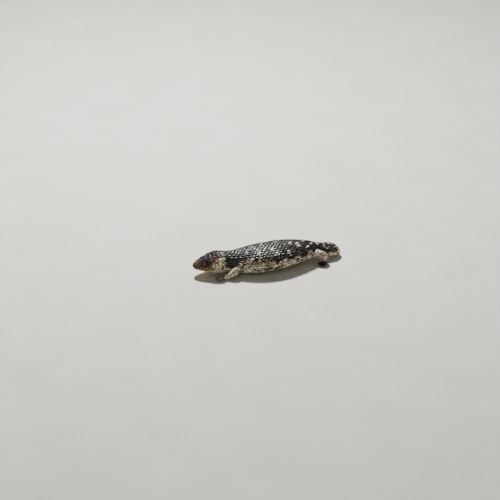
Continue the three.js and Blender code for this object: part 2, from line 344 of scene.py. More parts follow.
    def where(self, points: np.ndarray) -> tuple[np.ndarray, np.ndarray, np.ndarray]:
        """Finds the trunk's coordinates of any points near it.

        Args:
            points: Points in mm.

        Returns:
            x, the share of a turn, and how far out each lies, where 1 is on the plain surface.
        """
        x = np.clip(points[:, 0], 0.0, TAIL_TIP)
        c = self.section(x)
        side = (c[:, 0] - points[:, 1]) / c[:, 2]
        rise = points[:, 2] - c[:, 1]
        rise = rise / np.where(rise > 0.0, c[:, 3], c[:, 4])
        power = 1.0 / self.square
        side, rise = np.sign(side) * np.abs(side) ** power, np.sign(rise) * np.abs(rise) ** power
        psi = np.arctan2(side, rise)
        row = np.clip(np.rint(x / TAIL_TIP * (self.stations - 1)).astype(int), 0, self.stations - 1)
        column = (self.psis[row] < np.abs(psi)[:, None]).sum(1)
        share = np.sign(psi) * np.clip(column / (self.turns - 1) / 2.0, 0.0, 0.5)
        return x, share, np.hypot(side, rise) ** self.square

    def relief(self, s: np.ndarray, f: np.ndarray) -> np.ndarray:
        """The head's form on the plain surface: bumps and hollows that fall off as bell curves."""
        s, f = np.broadcast_arrays(np.asarray(s, float), np.asarray(f, float))
        x = self.x_at(s)
        f = np.abs(half_turn(f))
        girth = self.girth(s)
        lift = np.zeros(x.shape)
        for bump in HEAD_BUMPS:
            lift += bump.height * bump.bell(x, f, girth, self)
        line = self.mouth_share(x)
        away = (f - line) * girth
        inside = window(x, 0.0, 3.0, self.mouth.end - 4.0, self.mouth.end + 2.0)
        lift += inside * 0.9 * np.exp(-((away / 2.6) ** 2))
        lift -= inside * 1.5 * np.exp(-((away / 0.9) ** 2))
        return lift


@dataclass(frozen=True)
class Eye:
    """The eye's place on the head, its depth and its size, in mm."""

    x: float = 22.5
    height: float = 9.2
    inset: float = 2.8
    radius: float = 3.3

    def centre(self, trunk: Trunk, side: float) -> np.ndarray:
        """The ball's centre, on the side of the head; side is 1 for the left and -1 for the right."""
        c = trunk.section(self.x)
        share = (self.height / c[3]) ** (1.0 / trunk.square)
        half = c[2] * math.sqrt(1.0 - share * share) ** trunk.square
        return np.array([self.x, c[0] - side * (half - self.inset), c[1] + self.height])

    def facing(self, side: float) -> np.ndarray:
        """The way the eye looks out, across the head and a little forward and up."""
        way = np.array([-0.35, -side, 0.32])
        return way / np.linalg.norm(way)


@dataclass(frozen=True)
class Ear:
    """The ear opening's place and half sizes, in mm."""

    x: float = 55.5
    height: float = 1.5
    long: float = 1.9
    tall: float = 4.2


@dataclass(frozen=True)
class Mouth:
    """The line where the lips meet, from the snout to the corner of the mouth."""

    end: float = 45.0
    drop: float = 1.0
    rise: float = 2.6
    sag: float = 1.2

    def height(self, x: np.ndarray) -> np.ndarray:
        """The line's height over the section's centre: a fourth power less half a sine wave."""
        back = np.clip(np.asarray(x, float) / self.end, 0.0, 1.0)
        return -self.drop + self.rise * back**4 - self.sag * np.sin(np.pi * back)


@dataclass(frozen=True)
class Bump:
    """A swelling or hollow of the head, in mm: its x and height over the centre, its reach along
    and round, how far it stands out, and the power by which it falls off."""

    x: float
    up: float
    long: float
    wide: float
    height: float
    power: float = 2.0

    def bell(self, x: np.ndarray, f: np.ndarray, girth: np.ndarray, trunk: Trunk) -> np.ndarray:
        """exp(-r^power), where r is the elliptical distance from the bump's middle."""
        here = float(trunk.share_at(self.x, self.up))
        r = np.hypot((x - self.x) / self.long, (f - here) * girth / self.wide)
        return np.exp(-(r**self.power))


HEAD_BUMPS = (
    Bump(Eye.x, Eye.height, 4.6, 4.0, -1.9),
    Bump(22.0, 13.6, 8.0, 2.6, 0.8),
    Bump(12.0, 9.4, 6.0, 2.4, 0.6),
    Bump(13.0, 4.6, 5.5, 3.0, -0.7),
    Bump(44.0, 6.5, 9.5, 8.0, 1.5),
    Bump(34.0, 13.0, 5.0, 4.0, 0.7),
    Bump(Ear.x, Ear.height, Ear.long, Ear.tall, -3.4, 4.0),
    Bump(4.2, 2.1, 1.2, 1.0, -0.8, 3.0),
)


class Tube(Form):
    """A limb, palm, toe or claw: rings round a curve through a few points, each with its radius."""

    samples: int = 121

    def __init__(self, points: Sequence, radii: Sequence, flat: float = 1.0) -> None:
        """Measures the curve.

        Args:
            points: The curve's points, in mm.
            radii: The radius at each point, spread evenly over the curve.
            flat: How tall the section is beside its width.
        """
        self.points = np.array(points, float)
        self.radii = np.array(radii, float)
        self.flat = flat
        self.ts = np.linspace(0.0, 1.0, self.samples)
        line = self.path(self.ts)
        self.marks = np.concatenate([[0.0], np.cumsum(np.linalg.norm(np.diff(line, axis=0), axis=1))])
        self.length = float(self.marks[-1])
        self.girths = 2.0 * np.pi * self.radius(self.ts) * (1.0 + flat) / 2.0

    def path(self, t: np.ndarray) -> np.ndarray:
        """A centripetal Catmull-Rom curve: cubic spans whose knots are the roots of the chords."""
        p = np.concatenate([[2 * self.points[0] - self.points[1]], self.points,
                            [2 * self.points[-1] - self.points[-2]]])
        spans = len(self.points) - 1
        place = np.clip(np.asarray(t, float), 0.0, 1.0) * spans
        i = np.clip(place.astype(int), 0, spans - 1)
        w = (place - i)[..., None]
        knots = np.sqrt(np.linalg.norm(np.diff(p, axis=0), axis=1))
        d0, d1, d2 = (knots[i + k][..., None] for k in range(3))
        a, b, c, d = (p[i + k] for k in range(4))
        out = ((b - a) / d0 - (c - a) / (d0 + d1) + (c - b) / d1) * d1
        come = ((c - b) / d1 - (d - b) / (d1 + d2) + (d - c) / d2) * d1
        return (
            b * (1 + 2 * w) * (1 - w) ** 2 + out * w * (1 - w) ** 2
            + c * w * w * (3 - 2 * w) + come * w * w * (w - 1)
        )

    def radius(self, t: np.ndarray) -> np.ndarray:
        """The radius at the share t of the curve, eased from one point's to the next one's."""
        place = np.clip(np.asarray(t, float), 0.0, 1.0) * (len(self.radii) - 1)
        k = np.clip(place.astype(int), 0, len(self.radii) - 2)
        return mix(self.radii[k], self.radii[k + 1], smooth(place - k, 0.0, 1.0))

    def base(self, s: np.ndarray, f: np.ndarray) -> np.ndarray:
        """The rings: the curve plus the radius turned round it, f = 0 being the top."""
        s, f = np.broadcast_arrays(np.asarray(s, float), np.asarray(f, float))
        t = np.interp(s, self.marks, self.ts)
        ahead = self.path(np.minimum(t + 0.01, 1.0)) - self.path(np.maximum(t - 0.01, 0.0))
        ahead /= np.linalg.norm(ahead, axis=-1, keepdims=True)
        across = np.cross(np.array([0.0, 0.0, 1.0]), ahead)
        across /= np.linalg.norm(across, axis=-1, keepdims=True)
        upward = np.cross(ahead, across)
        turn = 2.0 * np.pi * f[..., None]
        radius = self.radius(t)[..., None]
        return self.path(t) + radius * (upward * np.cos(turn) * self.flat - across * np.sin(turn))


@dataclass
class Leg:
    """One leg: its joints from the body to the ankle, its foot, toes and claws, in mm.

    toes is the way that the foot points, in degrees from +X, and spread how far each toe turns from
    it; shares are the toes' lengths beside toe_length; arch holds the palm's runs and heights.
    """

    name: str
    bones: tuple
    radii: tuple
    toes: float
    toe_length: float
    palm: float
    side: float
    dark: float = 0.0
    spread: tuple = (-56.0, -27.0, 0.0, 27.0, 56.0)
    shares: tuple = (0.8, 0.98, 1.05, 1.0, 0.78)
    toe_radius: float = 2.3
    claw_length: float = 4.6
    claw_radius: float = 1.25
    claw_drop: float = 1.3
    arch: tuple = ((-5.4, 4.8), (0.0, 3.3), (6.0, 2.7))

    def __post_init__(self) -> None:
        """Makes the limb, palm, toes and claws from the sizes."""
        ankle = np.array(self.bones[-1], float)
        way = self.way(self.toes)
        self.root = np.array([ankle[0], ankle[1], 0.0]) + 3.5 * way
        self.limb = Tube(self.bones, self.radii)
        rise = np.array([0.0, 0.0, 1.0])
        middle = [self.root + run * way + height * rise for run, height in self.arch]
        self.sole = Tube(middle, [4.3, self.palm * 0.9, self.palm * 0.72], flat=0.62)
        self.fingers = [self.toe(i) for i in range(len(self.spread))]
        self.claws = [self.claw(i) for i in range(len(self.spread))]

    @staticmethod
    def way(degrees: float) -> np.ndarray:
        """A level unit vector at an angle from +X."""
        turn = math.radians(degrees)
        return np.array([math.cos(turn), math.sin(turn), 0.0])

    def along(self, index: int, run: float, height: float) -> np.ndarray:
        """A point of one toe's line, at a run from the foot's root and a height over the floor."""
        place = self.root + run * self.way(self.toes + self.spread[index] * self.side)
        return np.array([place[0], place[1], height])

    def toe(self, index: int) -> Tube:
        """One toe, which thins and comes down toward its tip."""
        length = self.toe_length * self.shares[index]
        points = [self.along(index, 1.0, 3.4), self.along(index, length * 0.5, 3.0),
                  self.along(index, length, 1.9)]
        radii = [self.toe_radius, self.toe_radius * 0.95, self.toe_radius * 0.7]
        return Tube(points, radii)

    def claw(self, index: int) -> Tube:
        """One claw, which leaves the toe level and hooks down to a point."""
        length = self.toe_length * self.shares[index]
        points = [self.along(index, length - 1.4, 2.2),
                  self.along(index, length + self.claw_length * 0.45, 2.5),
                  self.along(index, length + self.claw_length, 2.2 - self.claw_drop)]
        return Tube(points, [self.claw_radius, self.claw_radius * 0.75, 0.22])


def make_legs() -> list[Leg]:
    """The four legs in mid stride: left fore and right hind feet forward."""
    return [
        Leg("front_left", ((94, -18, 21), (80, -31.5, 16.5), (67, -32, 9), (57.5, -29, 5)),
            (9.5, 7.6, 5.6, 4.5), -188, 10.5, 6.4, -1.0),
        Leg("front_right", ((98, 8, 21), (107, 27, 19), (103, 42, 10), (99, 46, 5)),
            (9.5, 8.2, 5.8, 4.6), 132, 10.5, 6.4, 1.0),
        Leg("hind_left", ((246, -9, 20), (264, -24.5, 21), (272, -27.5, 11), (272, -27, 5)),
            (10.5, 7.8, 5.6, 4.8), -165, 11.5, 6.8, -1.0, HIND_DARK),
        Leg("hind_right", ((246, 8, 20), (228, 30, 18), (231, 41, 10), (228, 45, 5)),
            (10.5, 7.8, 5.6, 4.8), 148, 11.5, 6.8, 1.0, HIND_DARK),
    ]


@dataclass(frozen=True)
class Patch:
    """A pale or rusty patch: its x, share of a turn, half sizes along and round, turn and strength."""

    x: float
    f: float
    long: float
    wide: float
    turn: float = 0.0
    strength: float = 1.0

    def bell(self, x: np.ndarray, across: np.ndarray) -> np.ndarray:
        """exp(-r^4) of the elliptical distance, with the ellipse turned by some degrees.

        Args:
            x: Places along the animal, in mm.
            across: Distances round it from the patch's middle, in mm.
        """
        turn = math.radians(self.turn)
        dx = x - self.x
        u = (dx * math.cos(turn) + across * math.sin(turn)) / self.long
        v = (-dx * math.sin(turn) + across * math.cos(turn)) / self.wide
        return self.strength * np.exp(-((u * u + v * v) ** 2))


PALE = tuple(Patch(*row) for row in (
    (130.5, 0.075, 3.0, 17), (159, 0.06, 4.6, 4.8), (166.5, 0.14, 2.6, 10, -8),
    (191.5, 0.15, 2.8, 9.5, -10), (202, -0.005, 4.4, 7), (108, 0.05, 2.4, 7, 20), (218, 0.06, 4, 4.5),
    (236, 0.09, 5, 4), (247, 0.02, 3.5, 5), (274, 0.1, 2.6, 4), (288, -0.03, 2.6, 4), (297, 0.09, 2.6, 3.4),
    (307, 0.13, 3.6, 6),
))
RUST = tuple(Patch(*row) for row in (
    (120, 0.205, 10, 5, 0, 0.8), (149, 0.238, 13, 4.5, 0, 0.9), (187, 0.236, 8, 5, 0, 0.7),
))
MIRROR_SHIFT = 14.0


@dataclass
class Paint:
    """Tone and rust at a set of places."""

    tone: np.ndarray
    rust: np.ndarray

    def lay(self, mask: np.ndarray, tone: np.ndarray, rust: np.ndarray | None = None) -> None:
        """Lays a coat of tone, and of rust if given, where the mask is high."""
        self.tone = mix(self.tone, tone, mask)
        if rust is not None:
            self.rust = mix(self.rust, rust, mask)


@dataclass
class Markings:
    """The colours' plan, the same for the skin and the scales: tone runs from black to cream.

    The edges are the shares of a turn at which the dark back ends: at the shoulder, how much lower
    from there on, at the neck and at the tail. The band pitch is in mm.
    """

    trunk: Trunk
    edge: float = 0.178
    edge_drop: float = 0.034
    neck_edge: float = 0.26
    tail_edge: float = 0.222
    band_pitch: float = 33.0
    band_tone: float = 0.34

    def _flat(self, x: np.ndarray, f: np.ndarray) -> np.ndarray:
        """Places on the trunk rolled out flat: x, and the distance round from the top, in mm."""
        return np.stack([x, f * self.trunk.girth_at(x)], -1)

    def _patches(self, patches: tuple, x: np.ndarray, f: np.ndarray) -> np.ndarray:
        """The strongest patch at each place; the right side has the same ones farther back."""
        girth = self.trunk.girth_at(x)
        best = np.zeros(np.shape(x))
        for patch in patches:
            left = patch.bell(x, (f - patch.f) * girth)
            right = patch.bell(x - MIRROR_SHIFT, (-f - patch.f) * girth)
            best = np.maximum(best, np.maximum(left, right))
        return best

    def plan(self, x: np.ndarray, f: np.ndarray) -> np.ndarray:
        """How likely cream is: low on the back, high below a ragged edge, with bands and patches."""
        flat = self._flat(x, f)
        side, down = np.abs(f), np.abs(flat[..., 1])
        edge = self.edge + 0.022 * ripples(flat, 34.0, 3) + 0.022 * ripples(flat, 13.0, 4)
        edge = edge + self.edge_drop * smooth(x, 114.0, 150.0)
        edge = mix(edge, self.neck_edge, smooth(x, 94.0, 80.0))
        edge = mix(edge, self.tail_edge + 0.025 * ripples(flat, 9.0, 6), smooth(x, 250.0, 266.0))
        plan = 0.07 + 0.64 * smooth(side - edge, -0.015, 0.02) + 0.07 * ripples(flat, 22.0, 8)
        lean = np.stack([x + 0.7 * down, 0.45 * down], -1)
        dash = smooth(ripples(lean, 8.0, 7), 0.35, 0.8) * window(side, 0.19, 0.23, 0.33, 0.40)
        plan = plan - 0.42 * dash
        wave = x + 0.3 * down + 9.0 * ripples(flat, 40.0, 11)
        band = smooth(np.cos(2.0 * np.pi * wave / self.band_pitch), 0.8, 1.0)
        band = band * smooth(ripples(flat, 15.0, 5), 0.0, 0.5) * smooth(x, 92.0, 112.0)
        plan = np.maximum(plan, self.band_tone * band)
        return np.maximum(plan, 0.8 * self._patches(PALE, x, f))

    def trunk_paint(self, x: np.ndarray, f: np.ndarray, here: np.ndarray, lot: np.ndarray) -> tuple:
        """The trunk's tone and rust.

        Args:
            x: Where the plan is read, in mm.
            f: The share of a turn where it is read.
            here: The same places rolled out flat, for the strokes that cross single scales.
            lot: A number from 0 to 1 for each scale.

        Returns:
            Tone and rust: the plan plus long fine strokes and the scale's lot, made steep between
            black and cream, and eased into the head's own colours.
        """
        stroke = ripples(here * [0.36, 1.0], 2.8, 41)
        share = self.plan(x, f) + 0.27 * stroke + 0.2 * (lot - 0.5)
        flat = self._flat(x, f)
        light = 0.78 + 0.1 * ripples(flat, 16.0, 42) + 0.12 * (lot - 0.5)
        dark = 0.03 + 0.05 * lot + 0.05 * smooth(np.abs(f), 0.1, 0.2)
        tone = mix(dark, light, smooth(share, 0.42, 0.62))
        rust = 0.85 * self._patches(RUST, x, f) * smooth(stroke, -0.5, 0.3)
        tone = mix(tone, 0.45 * tone + 0.06, rust)
        head_tone, head_rust = self.head_paint(x, f, stroke, lot)
        head = smooth(x, 70.0, 61.0)
        return mix(tone, head_tone, head), mix(rust, head_rust, head)

    def at(self, x: np.ndarray, f: np.ndarray, lot: np.ndarray) -> tuple:
        """The trunk's tone and rust at x and f, with the strokes of the same places."""
        return self.trunk_paint(x, f, self._flat(x, f), lot)

    def on_trunk(self, plan: tuple, places: tuple, points: np.ndarray, lot: np.ndarray) -> tuple:
        """Tone and rust for a bed of scales, whose plan and places are pairs of s and f."""
        x = self.trunk.x_at(plan[0])
        here = self._flat(self.trunk.x_at(places[0]), places[1])
        return self.trunk_paint(x, plan[1], here, lot + 0.0 * x)

    def head_paint(self, x: np.ndarray, f: np.ndarray, stroke: np.ndarray, lot: np.ndarray) -> tuple:
        """The head's tone and rust: dark crown, brown snout, dark eye band, pale temples and throat, and
        painted shade along the mouth and in the ear.
        """
        side, own = np.abs(f), lot - 0.5
        girth = self.trunk.girth_at(x)
        down = (side - self.trunk.mouth_share(x)) * girth
        paint = Paint(
            0.07 + 0.2 * smooth(x, 20.0, 6.0) + 0.2 * smooth(stroke, 0.35, 0.8) + 0.1 * own,
            0.05 + 0.55 * smooth(x, 18.0, 7.0),
        )
        face = smooth(side, 0.09, 0.13) * smooth(x, 46.0, 36.0)
        paint.lay(face, 0.17 + 0.16 * own, 0.85)
        band = Patch(25.5, 0.14, 11.5, 6.2).bell(x, (side - 0.14) * girth)
        paint.lay(band, 0.0)
        paint.rust = mix(paint.rust, 0.05, 0.85 * band)
        cheek = smooth(x, 31.0, 38.0) * smooth(side, 0.155, 0.185)
        rear = window(x, 46.0, 50.0, 60.0, 66.0) * smooth(side, 0.10, 0.125)
        paint.lay(np.maximum(cheek, rear), 0.74 + 0.22 * own + 0.06 * stroke, 0.06)
        temple = Patch(44.5, 0.15, 4.6, 4.2).bell(x, (side - 0.15) * girth)
        paint.lay(temple, 0.44, 0.95)
        lip = window(down, -5.6, -4.2, -0.2, 1.2) * window(x, 3.0, 8.0, 36.0, 42.0)
        paint.lay(lip, 0.47 + 0.12 * own, 0.9)
        chin = smooth(down, 0.2, 2.0) * smooth(x, 2.0, 9.0)
        paint.lay(chin, 0.66 + 0.2 * own + 0.05 * stroke, 0.22 * smooth(x, 40.0, 15.0))
        # Painted shade: the mouth's groove and the ear opening are painted near black.
        seam = np.exp(-((down / 0.8) ** 2)) * window(x, 0.0, 3.0, 43.0, 46.0)
        hollow = Patch(self.trunk.ear.x, 0.0, 2.0, 4.4).bell(x, (side - self.trunk.ear_share) * girth)
        paint.lay(np.maximum(seam, hollow), 0.02, 0.0)
        tip = smooth(x, 6.5, 3.0) * smooth(down, 2.0, 0.0)
        paint.lay(tip, 0.10, 0.35)
        nape = smooth(x, 57.0, 66.0) * smooth(side, 0.30, 0.24) * (1.0 - 0.6 * rear)
        paint.lay(nape, 0.05)
        return paint.tone, np.clip(paint.rust, 0.0, 1.0)

    def limb_paint(self, points: np.ndarray, dark: float, lot: np.ndarray) -> tuple:
        """Cream legs with dark lines and flecks; the hind feet are dark. It has no rust."""
        lines = smooth(ripples(points, 5.5, 31), 0.5, 0.8)
        lines = lines + 0.6 * smooth(ripples(points, 2.6, 33), 0.6, 0.9)
        tone = 0.80 + 0.1 * ripples(points, 14.0, 32) + 0.14 * (lot - 0.5)
        tone = mix(tone, 0.13, np.clip(lines, 0.0, 1.0) * 0.85)
        tone = mix(tone, 0.46 + 0.1 * (lot - 0.5), dark * smooth(points[..., 2], 19.0, 12.0) * (tone > 0.4))
        tone = mix(tone, 0.10, dark * smooth(points[..., 2], 10.0, 5.0))
        return tone, 0.0 * tone


class Space:
    """Turns the model's own mm into the frame's metres."""

    def __init__(self, trunk: Trunk) -> None:
        """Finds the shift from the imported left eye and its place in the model."""
        low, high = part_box("eye_left")
        middle = np.array((low + high) / 2.0) / MM
        self.shift = middle - trunk.eye.centre(trunk, SIDES["left"])
        self.shift[2] = 0.0

    def frame(self, points: np.ndarray) -> np.ndarray:
        """Points in metres, in the frame."""
        return (points + self.shift) * MM

    def model(self, points: np.ndarray) -> np.ndarray:
        """Points in the model's mm."""
        return points / MM - self.shift


def grid_faces(rows: int, columns: int) -> np.ndarray:
    """Four-cornered faces between the neighbouring rows of a grid, whose last column joins the first.

    Args:
        rows: How many rows there are.
        columns: How many points each has.

    Returns:
        An array of four corners a face.
    """
    i, j = np.meshgrid(np.arange(rows - 1), np.arange(columns), indexing="ij")
    k = (j + 1) % columns
    faces = np.stack([i * columns + j, i * columns + k, (i + 1) * columns + k, (i + 1) * columns + j], -1)
    return faces.reshape(-1, 4)


def fan_faces(ring: np.ndarray, middle: int) -> np.ndarray:
    """Triangles from each side of a ring of corners to one middle corner."""
    return np.stack([np.roll(ring, -1), ring, np.full(len(ring), middle)], -1)


def cap_faces(rows: int, columns: int) -> np.ndarray:
    """The triangles of two fans, from the first and last ring of a grid to the two corners after it."""
    ring = np.arange(columns)
    first = fan_faces(ring, rows * columns)
    last = fan_faces(ring + (rows - 1) * columns, rows * columns + 1)
    return np.concatenate([first, last[:, ::-1]])


def closed_tube(points: np.ndarray) -> tuple[np.ndarray, np.ndarray, np.ndarray]:
    """A closed body from rings of points: faces between rings, a fan at either end, all facing out.

    Args:
        points: Rings by columns by 3.

    Returns:
        The vertices, the four-cornered faces and the triangles.
    """
    rows, columns = points.shape[:2]
    flat = points.reshape(-1, 3)
    ends = np.stack([points[0].mean(0), points[-1].mean(0)])
    return outward(np.concatenate([flat, ends]), grid_faces(rows, columns), cap_faces(rows, columns))


def volume(points: np.ndarray, quads: np.ndarray, tris: np.ndarray) -> float:
    """The signed volume of a closed mesh: a sixth of the corners' triple products, summed."""
    parts = [tris, quads[:, [0, 1, 2]], quads[:, [0, 2, 3]]]
    faces = np.concatenate([part for part in parts if len(part)])
    a, b, c = (points[faces[:, k]] for k in range(3))
    return float(np.einsum("ij,ij->i", a, np.cross(b, c)).sum() / 6.0)


def outward(points: np.ndarray, quads: np.ndarray, tris: np.ndarray) -> tuple:
    """The same closed mesh, with its faces turned outward."""
    if volume(points, quads, tris) < 0.0:
        quads, tris = quads[:, ::-1], tris[:, ::-1]
    return points, quads, tris


def add_mesh(name: str, points: np.ndarray, quads: np.ndarray, tris: np.ndarray) -> bpy.types.Object:
    """Puts a mesh in the scene, with its faces turned outward.

    Args:
        name: The piece's name.
        points: Vertices, in metres.
        quads: Faces of four corners, or an empty array.
        tris: Faces of three corners, or an empty array.

    Returns:
        The new object, at the origin.
    """
    points, quads, tris = outward(points, quads, tris)
    mesh = bpy.data.meshes.new(name)
    mesh.vertices.add(len(points))
    mesh.vertices.foreach_set("co", points.astype(np.float32).ravel())
    corners = np.concatenate([quads.ravel(), tris.ravel()]).astype(np.int32)
    totals = np.concatenate([np.full(len(quads), 4), np.full(len(tris), 3)]).astype(np.int32)
    starts = np.concatenate([[0], np.cumsum(totals)[:-1]]).astype(np.int32)
    mesh.loops.add(len(corners))
    mesh.loops.foreach_set("vertex_index", corners)
    mesh.polygons.add(len(totals))
    mesh.polygons.foreach_set("loop_start", starts)
    mesh.update(calc_edges=True)
    mesh.validate()
    mesh.shade_smooth()
    piece = bpy.data.objects.new(name, mesh)
    bpy.context.collection.objects.link(piece)
    return piece


def set_attribute(piece: bpy.types.Object, name: str, values: np.ndarray) -> None:
    """Gives each vertex of a piece one number under a name that its finish reads."""
    layer = piece.data.attributes.new(name, "FLOAT", "POINT")
    layer.data.foreach_set("value", np.clip(values, 0.0, 1.0).astype(np.float32).ravel())


def finish_piece(piece: bpy.types.Object, material: bpy.types.Material) -> None:
    """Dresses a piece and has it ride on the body."""
    piece.data.materials.append(material)
    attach(piece, BODY)
    log.info("%s: %d faces", piece.name, len(piece.data.polygons))


@dataclass(frozen=True)
class Chart:
    """A rectangle of the unwrap: its corner and its sizes along s and round the form."""

    u: float
    v: float
    along: float
    around: float

    def root(self, share: np.ndarray, f: np.ndarray) -> np.ndarray:
        """The place on the unwrap of a point at a share of the length and a share of a turn."""
        turn = (np.asarray(f) + 0.5) % 1.0
        return np.stack([self.u + self.along * np.asarray(share), self.v + self.around * turn], -1)


TRUNK_CHART = Chart(0.02, 0.02, 0.96, 0.58)


@dataclass
class Bed:
    """A set of scales on one form, with one value for all or one for each, in mm or shares of a turn.

    paint gives tone and rust from s, f, the points and each scale's lot; hold is the share of a
    scale's colour that is read at its middle.
    """

    form: Form
    chart: Chart
    s: np.ndarray
    f: np.ndarray
    ahead: np.ndarray | float
    behind: np.ndarray | float
    wide: np.ndarray | float
    rise: np.ndarray | float
    dome: np.ndarray | float
    keel: np.ndarray | float
    paint: Callable
    outline: np.ndarray | None = None
    point: float = 1.5
    sink: float = 0.5
    rough: float = 0.12
    hold: float = 0.35

    def __post_init__(self) -> None:
        """Gives each scale its own value of every size."""
        for name in ("ahead", "behind", "wide", "rise", "dome", "keel"):
            setattr(self, name, getattr(self, name) * np.ones(self.s.shape))


@dataclass
class Cloth:
    """The arrays of a built set of scales, ready to be joined with others."""

    points: list = field(default_factory=list)
    quads: list = field(default_factory=list)
    tris: list = field(default_factory=list)
    uvs: list = field(default_factory=list)
    values: dict = field(default_factory=dict)
    count: int = 0

    def add(self, points: np.ndarray, quads: np.ndarray, tris: np.ndarray, uv: np.ndarray,
            values: dict) -> None:
        """Adds one built set of vertices, faces, unwrap places and named values."""
        self.points.append(points)
        self.quads.append(quads + self.count)
        self.tris.append(tris + self.count)
        self.uvs.append(uv)
        for name, value in values.items():
            self.values.setdefault(name, []).append(value)
        self.count += len(points)

    def piece(self, name: str, space: Space) -> bpy.types.Object:
        """Joins all that was added into one object, with its unwrap and its values."""
        points = np.concatenate(self.points)
        points[:, 2] = np.maximum(points[:, 2], 0.0)
        made = add_mesh(name, space.frame(points), np.concatenate(self.quads), np.concatenate(self.tris))
        for key, parts in self.values.items():
            set_attribute(made, key, np.concatenate(parts))
        corner = np.empty(len(made.data.loops), np.int32)
        made.data.loops.foreach_get("vertex_index", corner)
        layer = made.data.uv_layers.new(name="OFBake")
        layer.data.foreach_set("uv", np.concatenate(self.uvs)[corner].astype(np.float32).ravel())
        return made


@dataclass
class Planter:
    """Builds scales: closed plates of rings and spokes that follow the form under them."""

    cloth: Cloth
    seed: int
    spokes: int = 16
    shares: tuple = (0.28, 0.55, 0.78, 0.93, 1.0)
    under: float = 0.9
    wrinkle: float = 3.2
    swing: float = 1.3
    crest: float = 0.22

    def __post_init__(self) -> None:
        """Makes the seeded source of small differences."""
        self.rng = np.random.default_rng(self.seed)

    def outline(self, bed: Bed, turn: np.ndarray) -> np.ndarray:
        """Each scale's reach in each direction, in mm: the sides' powers summed, pointed at the rear."""
        if bed.outline is not None:
            return bed.outline
        c, n = np.cos(turn)[None, :], np.abs(np.sin(turn))[None, :]
        reach = np.where(c > 0.0, bed.behind[:, None], bed.ahead[:, None])
        power = np.where(c > 0.0, bed.point, 2.2)
        return ((np.abs(c) / reach) ** power + (n / bed.wide[:, None]) ** power) ** (-1.0 / power)

    def plant(self, bed: Bed) -> None:
        """Adds a bed's scales: tilted up to the rear, domed, keeled, a little rough, and closed below.

        The height over the form is a slope from the buried front to the raised rear, plus a dome
        1 - r^3, plus a keel shaped as a bell across the scale, plus seeded wrinkles.
        """
        count, spokes = len(bed.s), self.spokes
        if count == 0:
            return
        turn = np.arange(spokes) * 2.0 * np.pi / spokes
        reach = self.outline(bed, turn)
        rings = np.array(self.shares + (self.under,))
        r = rings[None, :, None] * reach[:, None, :]
        a = r * np.cos(turn)
        b = r * np.sin(turn)
        col = (slice(None), None, None)
        whole = (bed.ahead + bed.behind)[col]
        back = np.clip((a + bed.ahead[col]) / whole, 0.0, 1.0)
        top = np.minimum(rings, 1.0)[None, :, None]
        h = -bed.sink + (bed.rise[col] + bed.sink) * back**self.swing
        h = h + bed.dome[col] * (1.0 - top**3)
        ridge = np.exp(-((b / (self.crest * bed.wide[col])) ** 2))
        h = h + bed.keel[col] * ridge * (1.0 - top**2) * back
        local = np.stack([a, b, 40.0 * self.rng.random((count, 1, 1)) + 0.0 * a], -1)
        h = h + bed.rough * ripples(local, self.wrinkle, 71) * (1.0 - top**4)
        h[:, -1, :] = -bed.sink
        s = bed.s[col] + a
        girth = np.maximum(bed.form.girth(bed.s), LEAST_GIRTH)
        f = bed.f[col] + b / girth[col]
        outer = bed.form.place(s, f, h)
        middle = bed.ahead / (bed.ahead + bed.behind)
        middle = -bed.sink + (bed.rise + bed.sink) * middle**self.swing + bed.dome + 0.4 * bed.keel
        tops = bed.form.place(bed.s, bed.f, middle)
        lows = bed.form.place(bed.s, bed.f, np.full(count, -bed.sink - 0.2))
        self._join(bed, outer, tops, lows, a, b, top)

    def _join(self, bed: Bed, outer: np.ndarray, tops: np.ndarray, lows: np.ndarray, a: np.ndarray,
              b: np.ndarray, top: np.ndarray) -> None:
        """Adds the faces, unwrap and values of a bed's scales.

        Args:
            bed: The scales.
            outer: The points of their rings.
            tops: Their middles above.
            lows: Their middles below.
            a: How far behind the middle each ring point lies, in mm.
            b: How far round from it, in mm.
            top: The size of each ring beside the scale.
        """
        count, rings, spokes = outer.shape[:3]
        size = rings * spokes + 2
        points = np.concatenate([outer.reshape(count, -1, 3), tops[:, None], lows[:, None]], 1)
        quads = grid_faces(rings, spokes)
        tris = cap_faces(rings, spokes)
        start = (np.arange(count) * size)[:, None, None]
        span = np.maximum(bed.ahead + bed.behind, 2.0 * bed.wide)[:, None]
        flat = np.stack([a.reshape(count, -1) / span, b.reshape(count, -1) / span], -1)
        flat = np.concatenate([flat, np.zeros((count, 2, 2))], 1) * SCALE_PATCH
        run = np.concatenate([a.reshape(count, -1), np.zeros((count, 2))], 1)
        turn = np.concatenate([b.reshape(count, -1), np.zeros((count, 2))], 1)
        turn /= np.maximum(bed.form.girth(bed.s), LEAST_GIRTH)[:, None]
        lot = self.rng.random((count, 1))
        places = (bed.s[:, None] + run, bed.f[:, None] + turn)
        plan = (places[0] - bed.hold * run, places[1] - bed.hold * turn)
        tone, rust = bed.paint(plan, places, points, lot)
        uv = bed.chart.root(bed.s / bed.form.length, bed.f)[:, None] + flat
        # The outer rings are darkened through rim. This gives dark scale margins, and it is also painted
        # shade where each scale's edge meets the next.
        edge = np.broadcast_to(smooth(top, 0.72, 1.0), a.shape).reshape(count, -1)
        values = {
            "tone": (tone + 0.0 * run).ravel(),
            "rust": (rust + 0.0 * run).ravel(),
            "vary": np.repeat(self.rng.random(count), size),
            "rim": np.concatenate([edge, np.zeros((count, 1)), np.ones((count, 1))], 1).ravel(),
        }
        self.cloth.add(points.reshape(-1, 3), (quads[None] + start).reshape(-1, 4),
                       (tris[None] + start).reshape(-1, 3), uv.reshape(-1, 2), values)


